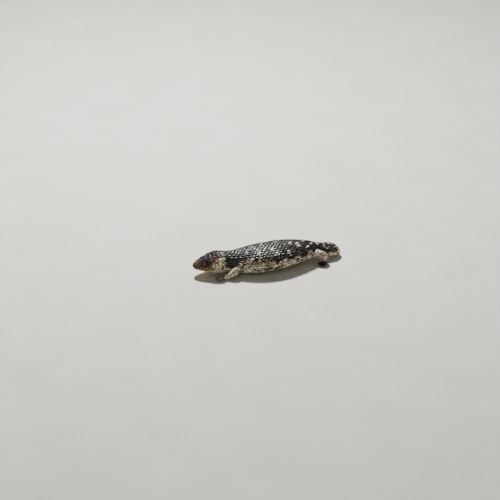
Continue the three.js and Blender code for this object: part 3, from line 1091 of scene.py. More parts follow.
def staggered(first: float, last: float, rows: int, columns: int) -> tuple:
    """Middles of scales in columns, of which every second one starts half a row later.

    Args:
        first: Where the rows start, in mm along the form.
        last: Where they end.
        rows: How many rows there are.
        columns: How many columns stand round the form.

    Returns:
        Their s, their f and the length of a row.
    """
    row, column = np.meshgrid(np.arange(rows), np.arange(columns), indexing="ij")
    pitch = (last - first) / rows
    s = first + (row + 0.25 + 0.5 * (column % 2)) * pitch
    return s.ravel(), half_turn(column / columns).ravel(), pitch


@dataclass(frozen=True)
class Zone:
    """A stretch of the trunk with its own rows of scales, in mm.

    overlap is a scale's length beside a row's, ahead the share of it before the scale's middle,
    half_width its half width beside a column's, and drift how far it strays beside a row's length.
    """

    name: str
    start: float
    end: float
    pitch: float
    columns: int
    rise: float
    dome: float = 0.78
    keel: float = 0.2
    overlap: float = 1.55
    ahead: float = 0.52
    half_width: float = 0.56
    drift: float = 0.065


ZONES = (
    Zone("nape", 63.0, 92.0, 6.6, 24, 1.4),
    Zone("back", 91.0, 254.0, 8.4, 32, 1.8),
    Zone("tail", 253.0, 309.0, 7.6, 20, 1.9),
)


@dataclass
class Coat:
    """What every set of scales needs: the trunk that carries or bounds it, and the plan of colours."""

    trunk: Trunk
    markings: Markings


class Scales(Coat):
    """The scales of the trunk, in staggered columns along it."""

    def bed(self, zone: Zone, rng: np.random.Generator) -> Bed:
        """One zone's scales, which lie flatter low on the flanks and on the belly."""
        first, last = self.trunk.s_at(zone.start), self.trunk.s_at(zone.end)
        rows = int(round((last - first) / zone.pitch))
        s, f, pitch = staggered(first, last, rows, zone.columns)
        s = s + rng.normal(0.0, zone.drift * pitch, s.shape)
        wide = self.trunk.girth(s) / zone.columns
        f = f + rng.normal(0.0, 0.06, f.shape) / zone.columns
        flank = smooth(np.abs(f), 0.31, 0.42)
        rise = zone.rise * mix(1.0, 0.3, flank) * rng.uniform(0.85, 1.15, s.shape)
        whole = pitch * zone.overlap
        return Bed(
            self.trunk, TRUNK_CHART, s, f, ahead=whole * zone.ahead, behind=whole * (1.0 - zone.ahead),
            wide=wide * zone.half_width, rise=rise, dome=zone.dome, keel=zone.keel * mix(1.0, 0.1, flank),
            paint=self.markings.on_trunk,
        )

    def build(self, zone: Zone, space: Space, seed: int) -> bpy.types.Object:
        """One zone as a piece of the coat."""
        cloth = Cloth()
        rng = np.random.default_rng(seed)
        Planter(cloth, seed + 1).plant(self.bed(zone, rng))
        return cloth.piece("scales_" + zone.name, space)


@dataclass(frozen=True)
class Shield:
    """One shield of the head: x, share of a turn, its own half size, and how far it stands up."""

    x: float
    f: float
    size: float
    rise: float = 0.9


CROWN = tuple(Shield(*row) for row in (
    (8.0, 0.0, 3.4), (15.5, 0.0, 3.6), (24.5, 0.0, 4.6), (34.0, 0.0, 4.0), (42.0, 0.0, 3.6, 1.2),
    (50.0, 0.0, 3.6, 1.4), (58.0, 0.0, 3.6, 1.5),
))
PAIRED = tuple(Shield(*row) for row in (
    (4.6, 0.09, 2.1), (9.6, 0.085, 2.4), (14.8, 0.075, 2.7), (17.5, 0.104, 2.2, 1.1),
    (22.2, 0.098, 2.4, 1.3), (27.2, 0.103, 2.4, 1.2), (26.0, 0.055, 2.7), (33.0, 0.07, 3.3, 1.1),
    (41.0, 0.062, 3.5, 1.3), (49.0, 0.066, 3.6, 1.5), (57.0, 0.06, 3.5, 1.6), (34.0, 0.122, 2.8, 1.2),
    (39.5, 0.112, 2.9, 1.3), (44.8, 0.15, 3.9, 1.5), (52.6, 0.135, 3.5, 1.7), (60.0, 0.13, 3.3, 1.6),
    (38.0, 0.172, 3.0, 1.3), (43.5, 0.205, 3.2, 1.5), (50.5, 0.19, 3.2, 1.6), (60.5, 0.19, 3.2, 1.6),
    (32.0, 0.165, 2.4, 1.0), (9.0, 0.14, 2.2), (13.6, 0.135, 2.3), (11.5, 0.185, 2.2), (16.2, 0.18, 2.1),
))


def mirrored(rows: Iterable) -> list:
    """Each row of an x, a share of a turn and more, on the right side and on the left."""
    return [(x, side * f, *rest) for x, f, *rest in rows for side in (-1.0, 1.0)]


@dataclass
class HeadShields(Coat):
    """The head's shields, cut where their half sizes meet, as the cells round their middles, in mm."""

    snout_tip: tuple = (0.6, 0.0, 2.6, 0.5)
    lip_out: float = 2.75
    lip_pitch: float = 4.3
    lip_size: float = 2.35
    eye_ring: tuple = (6.0, 5.6)
    eye_ring_size: float = 1.35
    eye_ring_count: int = 13
    eye_clear: float = 4.1
    ear_clear: float = 2.1
    nostril_clear: float = 1.5
    mouth_clear: float = 0.15
    tries: int = 2200
    reach: float = 18.0
    gap: float = 0.32

    def _placed(self) -> list[tuple[float, float, float, float]]:
        """The named shields, the lips' rows and the small scales round each eye."""
        trunk = self.trunk
        placed = [astuple(shield) for shield in CROWN] + mirrored(map(astuple, PAIRED))
        placed.append(self.snout_tip)
        sides = []
        for x in np.arange(4.0, trunk.mouth.end + 1.0, self.lip_pitch):
            girth = float(trunk.girth(trunk.s_at(x)))
            line = float(trunk.mouth_share(x))
            for out, shift in ((-self.lip_out, 0.0), (self.lip_out, 1.5)):
                sides.append((x + shift, line + out / girth, self.lip_size, 0.75))
        eye_f, eye_girth = self._eye()
        for turn in np.linspace(0.0, 2.0 * np.pi, self.eye_ring_count + 1)[:-1]:
            x = trunk.eye.x + self.eye_ring[0] * math.cos(turn)
            f = eye_f + self.eye_ring[1] * math.sin(turn) / eye_girth
            sides.append((x, f, self.eye_ring_size, 0.7))
        return placed + mirrored(sides)

    def _eye(self) -> tuple[float, float]:
        """The eye's share of a turn and the girth there."""
        trunk, eye = self.trunk, self.trunk.eye
        share = float(trunk.share_at(eye.x, eye.height + 0.6))
        return share, float(trunk.girth(trunk.s_at(eye.x)))

    def _kept_clear(self) -> np.ndarray:
        """Middles that grow no shield: the eyes, ears, nostrils and the line of the mouth."""
        trunk = self.trunk
        eye_f, _ = self._eye()
        clear = [(trunk.eye.x, eye_f, self.eye_clear, 0.0)]
        for up in (-3.0, 0.0, 3.0):
            share = float(trunk.share_at(trunk.ear.x, trunk.ear.height + up))
            clear.append((trunk.ear.x, share, self.ear_clear, 0.0))
        nostril = float(trunk.share_at(Nostrils.x, Nostrils.height))
        clear.append((Nostrils.x, nostril, self.nostril_clear, 0.0))
        for x in np.arange(1.0, trunk.mouth.end + 1.0, 1.4):
            clear.append((x, float(trunk.mouth_share(x)), self.mouth_clear, 0.0))
        return np.array(mirrored(clear))

    def _filled(self, placed: np.ndarray, clear: np.ndarray, rng: np.random.Generator) -> np.ndarray:
        """Adds shields on both sides wherever there is room, from a seeded list of places."""
        x = rng.uniform(3.0, 66.0, self.tries)
        f = rng.uniform(0.005, 0.5, self.tries)
        chosen = [tuple(row) for row in np.concatenate([placed, clear])]
        added = []
        shares = np.repeat([1.0, 0.62], len(x))
        for place in zip(np.tile(x, 2), np.tile(f, 2), shares):
            throat = smooth(np.array(place[1]), 0.34, 0.42)
            size = float(mix(2.7, 2.2, throat)) * place[2]
            others = np.array(chosen + added)
            girth = float(self.trunk.girth(self.trunk.s_at(place[0])))
            ds = self.trunk.s_at(others[:, 0]) - self.trunk.s_at(place[0])
            df = half_turn(others[:, 1] - place[1])
            if np.all(np.hypot(ds, df * girth) > 0.86 * (others[:, 2] + size)):
                rise = float(mix(1.1, 0.45, throat)) * place[2]
                added += [(place[0], place[1], size, rise), (place[0], -place[1], size, rise)]
        return np.concatenate([placed, np.array(added)])

    def _cells(self, s: np.ndarray, f: np.ndarray, size: np.ndarray, count: int) -> np.ndarray:
        """Each cell's reach: a soft minimum, over its neighbours, of the way to the line between them.

        Args:
            s: Places along the trunk of the shields, and after them of the middles kept clear.
            f: Their shares of a turn.
            size: Their half sizes, which move the line between two of them.
            count: How many of them are shields.

        Returns:
            Reaches in mm, one row a shield and one column a spoke.
        """
        turn = np.arange(Planter.spokes) * 2.0 * np.pi / Planter.spokes
        girth = self.trunk.girth(s)
        ds = s[None, :] - s[:count, None]
        df = half_turn(f[None, :] - f[:count, None]) * (girth[None, :] + girth[:count, None]) / 2
        square = ds**2 + df**2
        power = square + size[:count, None] ** 2 - size[None, :] ** 2
        toward = ds[..., None] * np.cos(turn) + df[..., None] * np.sin(turn)
        near = (square > 1e-6) & (square < self.reach**2)
        pull = np.where(near[..., None], 2.0 * toward / np.maximum(power, 0.3)[..., None], 0.0)
        pull = np.maximum(pull, 0.0) ** 10
        limit = 1.0 / (1.35 * size[:count, None])
        reach = (pull.sum(1) + limit**10) ** (-0.1)
        return np.maximum(reach - self.gap / 2.0, 0.35)

    def build(self, space: Space) -> bpy.types.Object:
        """All the shields of the head as one piece."""
        rng = np.random.default_rng(17)
        clear = self._kept_clear()
        shields = self._filled(np.array(self._placed()), clear, rng)
        count = len(shields)
        both = np.concatenate([shields, clear])
        s, f = self.trunk.s_at(both[:, 0]), both[:, 1]
        reach = self._cells(s, f, both[:, 2], count)
        rise = shields[:, 3] * mix(0.6, 1.0, smooth(shields[:, 0], 14.0, 40.0))
        mean = reach.mean(1)
        bed = Bed(
            self.trunk, TRUNK_CHART, s[:count], f[:count],
            ahead=reach[:, Planter.spokes // 2], behind=reach[:, 0],
            wide=mean, rise=rise, dome=0.16 * mean, keel=0.0,
            paint=self.markings.on_trunk, outline=reach, sink=0.4, rough=0.16, hold=0.6,
        )
        cloth = Cloth()
        Planter(cloth, 18).plant(bed)
        return cloth.piece("head_shields", space)


@dataclass(frozen=True)
class Grain:
    """The scales of one part of a leg, in mm: a row's length, their width, rise and where they start."""

    pitch: float
    across: float
    rise: float
    start: float = 0.0


@dataclass
class LegScales(Coat):
    """Small overlapping scales on each limb, foot and toe."""

    limb: Grain = Grain(3.6, 4.4, 0.75)
    sole: Grain = Grain(2.0, 2.5, 0.28, 2.0)
    toe: Grain = Grain(1.7, 2.2, 0.2, 1.0)
    overlap: float = 1.5
    half_width: float = 0.58

    def bed(self, form: Form, chart: Chart, grain: Grain, dark: float, rng: np.random.Generator) -> Bed:
        """Staggered rows of scales down one form, of which those inside the trunk are left out.

        Args:
            form: The tube that carries them.
            chart: Its place on the unwrap.
            grain: The scales' sizes.
            dark: How dark the foot is, from 0 to 1.
            rng: The seeded source of small differences.

        Returns:
            The bed.
        """
        columns = 2 * max(3, int(round(form.girths.max() / grain.across / 2.0)))
        rows = max(2, int(round((form.length - grain.start) / grain.pitch)))
        s, f, pitch = staggered(grain.start, form.length, rows, columns)
        s = s + rng.normal(0.0, 0.05 * pitch, s.shape)
        points = form.base(s, f)
        _, _, out = self.trunk.where(points)
        keep = (out > 0.97) & (points[:, 2] > 0.4)
        s, f = s[keep], f[keep]
        whole = pitch * self.overlap
        wide = form.girth(s) / columns * self.half_width
        return Bed(
            form, chart, s, f, ahead=whole * 0.52, behind=whole * 0.48, wide=wide,
            rise=grain.rise, dome=grain.rise * 0.35, keel=0.0,
            paint=lambda plan, places, where, lot: self.markings.limb_paint(where, dark, lot),
            point=1.7, sink=0.35, rough=0.05,
        )

    def build(self, leg: Leg, index: int, space: Space) -> bpy.types.Object:
        """The scales of one leg as one piece."""
        rng = np.random.default_rng(60 + index)
        cloth = Cloth()
        planter = Planter(cloth, 70 + index, spokes=10, shares=(0.5, 0.85, 1.0))
        u = 0.02 + 0.245 * index
        parts = [
            (leg.limb, Chart(u, 0.63, 0.22, 0.14), self.limb),
            (leg.sole, Chart(u, 0.79, 0.05, 0.08), self.sole),
        ]
        for k, toe in enumerate(leg.fingers):
            parts.append((toe, Chart(u + 0.06 + 0.03 * k, 0.79, 0.025, 0.06), self.toe))
        for form, chart, grain in parts:
            planter.plant(self.bed(form, chart, grain, leg.dark, rng))
        return cloth.piece("scales_leg_" + leg.name, space)


@dataclass
class Skin(Coat):
    """One seamless skin: trunk, limbs, palms and toes joined by a fine remesh, with sizes in mm."""

    legs: list[Leg]
    voxel: float = 0.95
    depth: float = 0.45
    trunk_grid: tuple = (420, 220)
    limb_grid: tuple = (60, 40)
    sole_grid: tuple = (24, 28)
    toe_grid: tuple = (20, 18)

    def shells(self) -> tuple[np.ndarray, np.ndarray, np.ndarray]:
        """All the forms as closed shells, a little inside the scales' feet."""
        cloth = Cloth()
        sizes = [(self.trunk, self.trunk_grid)]
        for leg in self.legs:
            sizes += [(leg.limb, self.limb_grid), (leg.sole, self.sole_grid)]
            sizes += [(toe, self.toe_grid) for toe in leg.fingers]
        for form, (rows, columns) in sizes:
            points, quads, tris = shell(form, rows, columns, -self.depth)
            cloth.add(points, quads, tris, np.zeros((len(points), 2)), {})
        return np.concatenate(cloth.points), np.concatenate(cloth.quads), np.concatenate(cloth.tris)

    def build(self, space: Space) -> bpy.types.Object:
        """Remeshes the shells as one, smooths it, flattens its soles and colours it."""
        points, quads, tris = self.shells()
        rough = add_mesh("skin_shells", space.frame(points), quads, tris)
        remesh = rough.modifiers.new("join", "REMESH")
        remesh.mode = "VOXEL"
        remesh.voxel_size = self.voxel * MM
        ease = rough.modifiers.new("ease", "SMOOTH")
        ease.factor = 0.5
        ease.iterations = 3
        evaluated = rough.evaluated_get(bpy.context.evaluated_depsgraph_get())
        mesh = bpy.data.meshes.new_from_object(evaluated)
        mesh.name = "skin"
        bpy.data.objects.remove(rough)
        skin = bpy.data.objects.new("skin", mesh)
        bpy.context.collection.objects.link(skin)
        place = np.empty(len(mesh.vertices) * 3, np.float32)
        mesh.vertices.foreach_get("co", place)
        place[2::3] = np.maximum(place[2::3], 0.0)
        mesh.vertices.foreach_set("co", place)
        mesh.shade_smooth()
        self.colour(skin, space.model(place.reshape(-1, 3).astype(float)))
        return skin

    def colour(self, skin: bpy.types.Object, points: np.ndarray) -> None:
        """The same markings as the scales carry, eased from trunk to limb where the legs leave it."""
        x, f, out = self.trunk.where(points)
        limb = smooth(out, 1.04, 1.14)
        dark = np.where(x > MID_TRUNK, HIND_DARK, 0.0)
        lot = np.full(x.shape, 0.5)
        tone, rust = self.markings.at(x, f, lot)
        tone = mix(tone, self.markings.limb_paint(points, dark, lot)[0], limb)
        # Rim 0.8 darkens the whole skin, which shows mostly in the gaps between scales. This is partly its
        # own darker colour and partly painted shade there.
        values = {"tone": tone, "rust": rust * (1.0 - limb), "vary": lot, "rim": np.full(x.shape, 0.8)}
        for name, value in values.items():
            set_attribute(skin, name, value)


@dataclass
class EyePiece:
    """One eye: a ball with its iris and pupil, and two lids that close on it from above and below."""

    trunk: Trunk
    name: str
    rows: int = 40
    columns: int = 48
    lid_rows: int = 33
    lid_columns: int = 9

    def __post_init__(self) -> None:
        """Works out the eye's own directions: out, forward along the head, and up."""
        self.side = SIDES[self.name]
        self.eye = self.trunk.eye
        self.centre = self.eye.centre(self.trunk, self.side)
        self.out = self.eye.facing(self.side)
        self.up = np.array([0.0, 0.0, 1.0]) - self.out[2] * self.out
        self.up /= np.linalg.norm(self.up)
        self.fore = np.cross(self.up, self.out) * -self.side
        self.fore *= np.sign(-self.fore[0])

    def point(self, across: np.ndarray, rise: np.ndarray, radius: np.ndarray) -> np.ndarray:
        """A point round the ball's centre: turned across toward the snout, then raised, in radians."""
        along = np.sin(across) * np.cos(rise)
        outward = np.cos(across) * np.cos(rise)
        height = np.sin(rise)
        way = along[..., None] * self.fore + outward[..., None] * self.out + height[..., None] * self.up
        return self.centre + way * np.asarray(radius)[..., None]

    def ball(self, space: Space) -> bpy.types.Object:
        """The ball: circles round the way it looks, with the clear front standing a little proud."""
        polar = np.linspace(0.0, np.pi, self.rows)[:, None]
        turn = (np.arange(self.columns) * 2.0 * np.pi / self.columns)[None, :]
        bulge = 0.28 * np.exp(-((polar / 0.5) ** 2))
        radius = self.eye.radius - 0.12 + bulge
        way = (
            np.cos(polar)[..., None] * self.out
            + (np.sin(polar) * np.cos(turn))[..., None] * self.fore
            + (np.sin(polar) * np.sin(turn))[..., None] * self.up
        )
        points, quads, tris = closed_tube(self.centre + way * (radius + 0.0 * turn)[..., None])
        piece = add_mesh("eyeball_" + self.name, space.frame(points), quads, tris)
        away = np.concatenate([(polar + 0.0 * turn).ravel(), [0.0, np.pi]]) / np.pi
        set_attribute(piece, "away", away)
        return piece

    def lids(self, space: Space) -> bpy.types.Object:
        """Two lids: crescents of a sphere from their margin out to the skin, each a closed shell."""
        cloth = Cloth()
        for upper in (True, False):
            u = np.linspace(-1.0, 1.0, self.lid_rows)[:, None]
            v = np.linspace(0.0, 1.0, self.lid_columns)[None, :]
            opening = (0.50 if upper else 0.42) * np.cos(u * np.pi / 2.0) ** 0.8
            outer = 1.25 if upper else 1.15
            rise = (opening + (outer - opening) * v) * (1.0 if upper else -1.0)
            across = u * (1.12 - 0.3 * v)
            swell = 0.34 * np.sin(np.pi * np.clip(v * 1.25, 0.0, 1.0)) * (1.1 if upper else 0.9)
            top = self.point(across, rise, self.eye.radius + 0.28 + swell + 0.35 * v)
            under = self.point(across, rise, self.eye.radius + 0.02 - 0.5 * v)
            rings = np.concatenate([top, under[:, ::-1]], 1)
            points, quads, tris = closed_tube(rings)
            look = {"tone": 0.2 if upper else 0.34, "rust": 0.25, "vary": 0.5, "rim": 0.35}
            values = {name: np.full(len(points), value) for name, value in look.items()}
            root = np.array([0.02 + 0.96 * self.eye.x / TAIL_TIP, 0.31 + 0.1 * self.side])
            places = np.indices((self.lid_rows, 2 * self.lid_columns)).reshape(2, -1).T
            flat = SCALE_PATCH * (places / float(self.lid_rows))
            uv = root + np.concatenate([flat, np.zeros((2, 2))])
            cloth.add(points, quads, tris, uv, values)
        return cloth.piece("lids_" + self.name, space)


@dataclass
class Nostrils:
    """The two nostrils: a low ring round a pit painted dark as shade, turned as a lathe turns, with sizes
    in mm.
    """

    trunk: Trunk
    x: float = 4.6
    height: float = 2.2
    spokes: int = 20
    profile: tuple = (
        (1.9, -0.5), (1.75, 0.2), (1.4, 0.6), (1.1, 0.65), (0.9, 0.4), (0.75, -0.3), (0.35, -0.8),
    )

    def build(self, space: Space) -> bpy.types.Object:
        """Both rings as one piece: each a profile of reach and height turned round the normal."""
        cloth = Cloth()
        turn = np.arange(self.spokes) * 2.0 * np.pi / self.spokes
        share = self.trunk.share_at(self.x, self.height)
        for side in SIDES.values():
            s, f = self.trunk.s_at(self.x), side * share
            girth = float(self.trunk.girth(s))
            reach, high = np.array(self.profile).T
            a = reach[:, None] * np.cos(turn) * 1.15
            b = reach[:, None] * np.sin(turn) * 0.85
            points = self.trunk.place(s + a, f + b / girth, high[:, None] + 0.0 * a)
            points, quads, tris = closed_tube(points)
            # The pit is painted near black: painted shade in the opening.
            dark = smooth(reach, 1.3, 0.8)[:, None] + 0.0 * a
            dark = np.concatenate([dark.ravel(), [0.0, 1.0]])
            values = {"tone": 0.22 * (1.0 - dark), "rust": 0.35 * (1.0 - dark),
                      "vary": 0.4 + 0.0 * dark, "rim": dark}
            uv = np.zeros((len(points), 2)) + [0.035, 0.31 + 0.06 * side]
            cloth.add(points, quads, tris, uv, values)
        return cloth.piece("nostrils", space)


@dataclass
class Claws:
    """The claws of one foot, each a hooked cone from its toe to the floor."""

    rows: int = 16
    columns: int = 12

    def build(self, leg: Leg, space: Space) -> bpy.types.Object:
        """One foot's claws as one piece, with a value that runs from root to tip."""
        parts = []
        count = 0
        for claw in leg.claws:
            points, quads, tris = shell(claw, self.rows, self.columns, 0.0)
            points[:, 2] = np.maximum(points[:, 2], 0.0)
            along = np.concatenate([np.repeat(np.linspace(0.0, 1.0, self.rows), self.columns), [0.0, 1.0]])
            parts.append((points, quads + count, tris + count, along))
            count += len(points)
        points, quads, tris, along = (np.concatenate(part) for part in zip(*parts))
        piece = add_mesh("claws_" + leg.name, space.frame(points), quads, tris)
        set_attribute(piece, "along", along)
        return piece


Value = bpy.types.NodeSocket | float | tuple


@dataclass
class Nodes:
    """Places nodes in one tree and joins them."""

    tree: bpy.types.NodeTree

    def add(self, kind: str, inputs: dict | None = None, **settings) -> bpy.types.Node:
        """One node, with its settings, and values or links for its inputs."""
        node = self.tree.nodes.new(kind)
        for name, value in settings.items():
            setattr(node, name, value)
        self.feed(node, inputs or {})
        return node

    def feed(self, node: bpy.types.Node, inputs: dict) -> None:
        """Links sockets to a node's inputs, and sets plain values on them, by name or number."""
        for name, value in inputs.items():
            if isinstance(value, bpy.types.NodeSocket):
                self.tree.links.new(value, node.inputs[name])
            else:
                node.inputs[name].default_value = value

    def maths(self, operation: str, *values: Value) -> bpy.types.NodeSocket:
        """The result of one Math node."""
        node = self.add("ShaderNodeMath", dict(enumerate(values)), operation=operation)
        node.use_clamp = operation in ("MULTIPLY_ADD", "ADD", "SUBTRACT")
        return node.outputs[0]

    def blend(self, factor: Value, a: Value, b: Value, mode: str = "MIX") -> bpy.types.NodeSocket:
        """The colour of one Mix node."""
        node = self.add("ShaderNodeMix", {0: factor, 6: a, 7: b}, data_type="RGBA", blend_type=mode)
        return node.outputs[2]

    def noise(self, scale: float, detail: float) -> bpy.types.NodeSocket:
        """Noise of a scale and a detail, read at the piece's own place."""
        place = self.add("ShaderNodeTexCoord").outputs["Object"]
        node = self.add("ShaderNodeTexNoise", {"Vector": place, "Scale": scale, "Detail": detail})
        return node.outputs["Fac"]

    def shaded(self, colour: Value, grain: Value, dark: float) -> bpy.types.NodeSocket:
        """A colour darkened where the grain is low, to a share of itself."""
        shade = self.ramp(grain, ((0.3, (dark, dark, dark)), (0.7, (1.0, 1.0, 1.0))))
        return self.blend(1.0, colour, shade, "MULTIPLY")

    def bump(self, height: bpy.types.NodeSocket, strength: float, distance: float) -> bpy.types.NodeSocket:
        """The normal that a height gives, at a strength and a depth in metres."""
        node = self.add("ShaderNodeBump", {"Height": height, "Strength": strength, "Distance": distance})
        return node.outputs["Normal"]

    def value(self, name: str) -> bpy.types.NodeSocket:
        """One of the piece's own attributes."""
        return self.add("ShaderNodeAttribute", attribute_name=name).outputs["Fac"]

    def ramp(self, factor: Value, stops: tuple) -> bpy.types.NodeSocket:
        """A colour ramp with stops of a place and a colour."""
        node = self.add("ShaderNodeValToRGB", {"Fac": factor})
        elements = node.color_ramp.elements
        while len(elements) < len(stops):
            elements.new(0.5)
        for element, (place, colour) in zip(elements, stops):
            element.position = place
            element.color = (*colour, 1.0)
        return node.outputs["Color"]


def new_material(name: str) -> tuple[bpy.types.Material, Nodes, bpy.types.Node]:
    """A new material, its nodes and its Principled shader."""
    material = bpy.data.materials.new(name)
    material.use_nodes = True
    return material, Nodes(material.node_tree), material.node_tree.nodes["Principled BSDF"]


HIDE_INPUTS = ("Tone", "Rust", "Vary", "Rim")
HIDE_OUTPUTS = {"Color": "NodeSocketColor", "Roughness": "NodeSocketFloat", "Height": "NodeSocketFloat"}


@dataclass(frozen=True)
class HideTones:
    """The hide's colours along its tone, and the rust laid over it."""

    stops: tuple = (
        (0.0, (0.010, 0.009, 0.009)),
        (0.16, (0.026, 0.023, 0.021)),
        (0.34, (0.095, 0.080, 0.060)),
        (0.60, (0.37, 0.33, 0.20)),
        (0.82, (0.66, 0.61, 0.44)),
        (1.0, (0.80, 0.77, 0.66)),
    )
    rust_dark: tuple = (0.085, 0.040, 0.020)
    rust_light: tuple = (0.37, 0.19, 0.085)


def hide_group(tones: HideTones) -> bpy.types.NodeTree:
    """The node group that the skin and scales share.

    It takes tone, rust, vary and rim, and gives a colour, a roughness and a height for the bump.
    """
    tree = bpy.data.node_groups.new("lizard_hide", "ShaderNodeTree")
    for name in HIDE_INPUTS:
        tree.interface.new_socket(name=name, in_out="INPUT", socket_type="NodeSocketFloat")
    for name, kind in HIDE_OUTPUTS.items():
        tree.interface.new_socket(name=name, in_out="OUTPUT", socket_type=kind)
    nodes = Nodes(tree)
    given = nodes.add("NodeGroupInput").outputs
    mottle, grain = nodes.noise(260.0, 3.0), nodes.noise(1100.0, 4.0)
    streak = nodes.maths("SUBTRACT", mottle, 0.5)
    tone = nodes.maths("MULTIPLY_ADD", streak, 0.34, given["Tone"])
    drift = nodes.maths("SUBTRACT", given["Vary"], 0.5)
    tone = nodes.maths("MULTIPLY_ADD", drift, 0.10, tone)
    colour = nodes.ramp(tone, tones.stops)
    rusty = nodes.ramp(tone, ((0.05, tones.rust_dark), (0.75, tones.rust_light)))
    colour = nodes.blend(given["Rust"], colour, rusty)
    # Rim darkens the colour toward dark brown. This gives the scales' dark margins, and it is also painted
    # shade in the gaps between scales, on the skin that shows there and in the nostril pits.
    edge = nodes.maths("MULTIPLY", given["Rim"], 0.72)
    colour = nodes.blend(edge, colour, (0.16, 0.13, 0.10, 1.0), "MULTIPLY")
    rough = nodes.maths("MULTIPLY_ADD", grain, 0.12, 0.20)
    rough = nodes.maths("MULTIPLY_ADD", given["Tone"], 0.16, rough)
    rough = nodes.maths("MULTIPLY_ADD", given["Vary"], 0.26, rough)
    height = nodes.maths("ADD", grain, mottle)
    nodes.add("NodeGroupOutput", {"Color": colour, "Roughness": rough, "Height": height})
    return tree


@dataclass(frozen=True)
class HideFinish:
    """A hide: its gloss, its coat and how deep its grain is."""

    name: str
    coat: float
    depth: float
    dull: float = 0.0
    bumps: float = 0.22
    specular: float = 0.25
    coat_rough: float = 0.1

    def material(self, group: bpy.types.NodeTree) -> bpy.types.Material:
        """The material, with the shared group feeding its shader."""
        material, nodes, shader = new_material(self.name)
        given = {name: nodes.value(name.lower()) for name in HIDE_INPUTS}
        hide = nodes.add("ShaderNodeGroup", given, node_tree=group).outputs
        nodes.feed(shader, {
            "Base Color": hide["Color"],
            "Roughness": nodes.maths("ADD", hide["Roughness"], self.dull),
            "Normal": nodes.bump(hide["Height"], self.bumps, self.depth),
            "Specular IOR Level": self.specular,
            "Coat Weight": self.coat,
            "Coat Roughness": self.coat_rough,
        })
        return material


@dataclass(frozen=True)
class EyeFinish:
    """The eye: pupil, dark reddish iris and brown rim, under a wet clear front."""

    stops: tuple = (
        (0.0, (0.003, 0.003, 0.003)),
        (0.135, (0.004, 0.003, 0.003)),
        (0.155, (0.13, 0.05, 0.02)),
        (0.25, (0.20, 0.085, 0.032)),
        (0.30, (0.03, 0.014, 0.01)),
        (0.40, (0.05, 0.035, 0.028)),
    )

    def material(self) -> bpy.types.Material:
        """The material, coloured by how far each point is from the middle of the front."""
        material, nodes, shader = new_material("eye_wet")
        colour = nodes.ramp(nodes.value("away"), self.stops)
        nodes.feed(shader, {
            "Base Color": nodes.shaded(colour, nodes.noise(2600.0, 2.0), 0.6),
            "Roughness": 0.06,
            "Coat Weight": 1.0,
            "Coat Roughness": 0.02,
        })
        return material


@dataclass(frozen=True)
class ClawFinish:
    """Dark horn that pales toward the tip."""

    stops: tuple = ((0.0, (0.22, 0.18, 0.13)), (0.45, (0.11, 0.085, 0.06)), (1.0, (0.30, 0.25, 0.18)))

    def material(self) -> bpy.types.Material:
        """The material, coloured along each claw, with fine grain."""
        material, nodes, shader = new_material("claw_horn")
        grain = nodes.noise(1500.0, 3.0)
        nodes.feed(shader, {
            "Base Color": nodes.shaded(nodes.ramp(nodes.value("along"), self.stops), grain, 0.75),
            "Normal": nodes.bump(grain, 0.25, 0.0001),
            "Roughness": 0.32,
        })
        return material


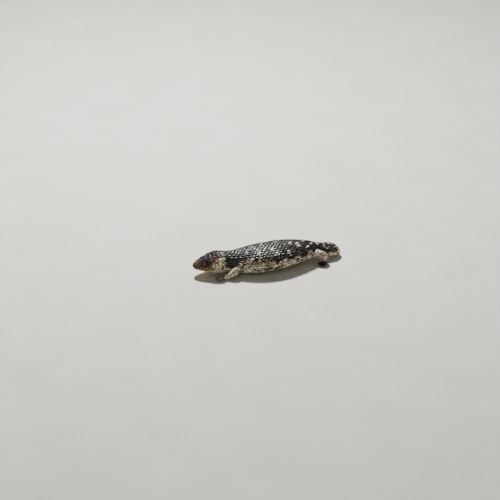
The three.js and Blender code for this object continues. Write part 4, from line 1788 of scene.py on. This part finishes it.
@dataclass
class Studio:
    """A pale floor, soft light from above and behind, and the camera at the photo's angle."""

    azimuth: float = -16.0
    elevation: float = 30.0
    distance: float = 3448.0
    lens: float = 122.4
    look: tuple = (155.0, 0.0, 20.0)
    aside: float = 34.3
    above: float = 14.3
    floor_half: float = 4.0

    def build(self, space: Space) -> None:
        """Makes the floor, the lights and the camera."""
        self.floor()
        self.light("key", (-0.08, 1.0, 1.75), 0.26, 88.0)
        self.light("fill", (-0.9, -1.6, 1.3), 1.8, 4.0)
        self.camera(space)
        world = bpy.data.worlds.new("studio")
        world.use_nodes = True
        world.node_tree.nodes["Background"].inputs["Color"].default_value = (0.90, 0.91, 0.93, 1.0)
        world.node_tree.nodes["Background"].inputs["Strength"].default_value = 0.15
        bpy.context.scene.world = world

    def floor(self) -> None:
        """One wide pale plane, faintly uneven in tone."""
        half = self.floor_half
        corners = [(-half, -half, 0.0), (half, -half, 0.0), (half, half, 0.0), (-half, half, 0.0)]
        mesh = bpy.data.meshes.new("floor")
        mesh.from_pydata(corners, [], [(0, 1, 2, 3)])
        floor = bpy.data.objects.new("floor", mesh)
        bpy.context.collection.objects.link(floor)
        material, nodes, shader = new_material("pale_floor")
        colour = nodes.ramp(nodes.noise(9.0, 4.0), ((0.3, (0.72, 0.69, 0.61)), (0.7, (0.79, 0.76, 0.68))))
        nodes.feed(shader, {"Base Color": colour, "Roughness": 0.85})
        mesh.materials.append(material)

    def light(self, name: str, place: tuple, size: float, power: float) -> None:
        """One square area light, aimed at the animal."""
        lamp = bpy.data.lights.new(name, "AREA")
        lamp.size = size
        lamp.energy = power
        made = bpy.data.objects.new(name, lamp)
        made.location = place
        made.rotation_euler = (-Vector(place)).to_track_quat("-Z", "Y").to_euler()
        bpy.context.collection.objects.link(made)

    def camera(self, space: Space) -> None:
        """The photo's camera: its angles, and a long lens far off, aimed beside the animal."""
        turn, rise = math.radians(self.azimuth), math.radians(self.elevation)
        right = Vector((math.cos(turn), math.sin(turn), 0.0))
        back = Vector((math.sin(turn) * math.cos(rise), -math.cos(turn) * math.cos(rise), math.sin(rise)))
        up = back.cross(right)
        aim = Vector(space.frame(np.array(self.look)))
        aim += (up * self.above - right * self.aside) * MM
        data = bpy.data.cameras.new("photo")
        data.lens = self.lens
        data.sensor_width = 36.0
        camera = bpy.data.objects.new("photo", data)
        camera.location = aim + back * self.distance * MM
        camera.rotation_euler = back.to_track_quat("Z", "Y").to_euler()
        data.clip_end = 50.0
        bpy.context.collection.objects.link(camera)
        bpy.context.scene.camera = camera


def dress(trunk: Trunk, space: Space) -> None:
    """Builds every piece of the animal in turn, and dresses it."""
    markings = Markings(trunk)
    legs = make_legs()
    group = hide_group(HideTones())
    scale_hide = HideFinish("scale_hide", 0.14, 0.0003).material(group)
    soft_hide = HideFinish("soft_hide", 0.0, 0.0004, 0.3).material(group)
    skin = Skin(trunk, markings, legs).build(space)
    flesh = ["head", "neck", "torso", "tail"]
    for leg in legs:
        flesh += [f"leg_{leg.name}_upper", f"leg_{leg.name}_lower", f"foot_{leg.name}"]
    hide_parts(*flesh)
    finish_piece(skin, soft_hide)
    for index, zone in enumerate(ZONES):
        finish_piece(Scales(trunk, markings).build(zone, space, 31 + 7 * index), scale_hide)
    finish_piece(HeadShields(trunk, markings).build(space), scale_hide)
    horn = ClawFinish().material()
    for index, leg in enumerate(legs):
        finish_piece(LegScales(trunk, markings).build(leg, index, space), scale_hide)
        finish_piece(Claws().build(leg, space), horn)
    wet = EyeFinish().material()
    for name in SIDES:
        eye = EyePiece(trunk, name)
        ball = eye.ball(space)
        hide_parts("eye_" + name)
        finish_piece(ball, wet)
        finish_piece(eye.lids(space), soft_hide)
    finish_piece(Nostrils(trunk).build(space), scale_hide)


def main() -> None:
    """Builds the studio and the animal."""
    logging.basicConfig(level=logging.INFO, format="%(name)s: %(message)s")
    trunk = Trunk()
    space = Space(trunk)
    Studio().build(space)
    dress(trunk, space)


if __name__ == "__main__":
    main()
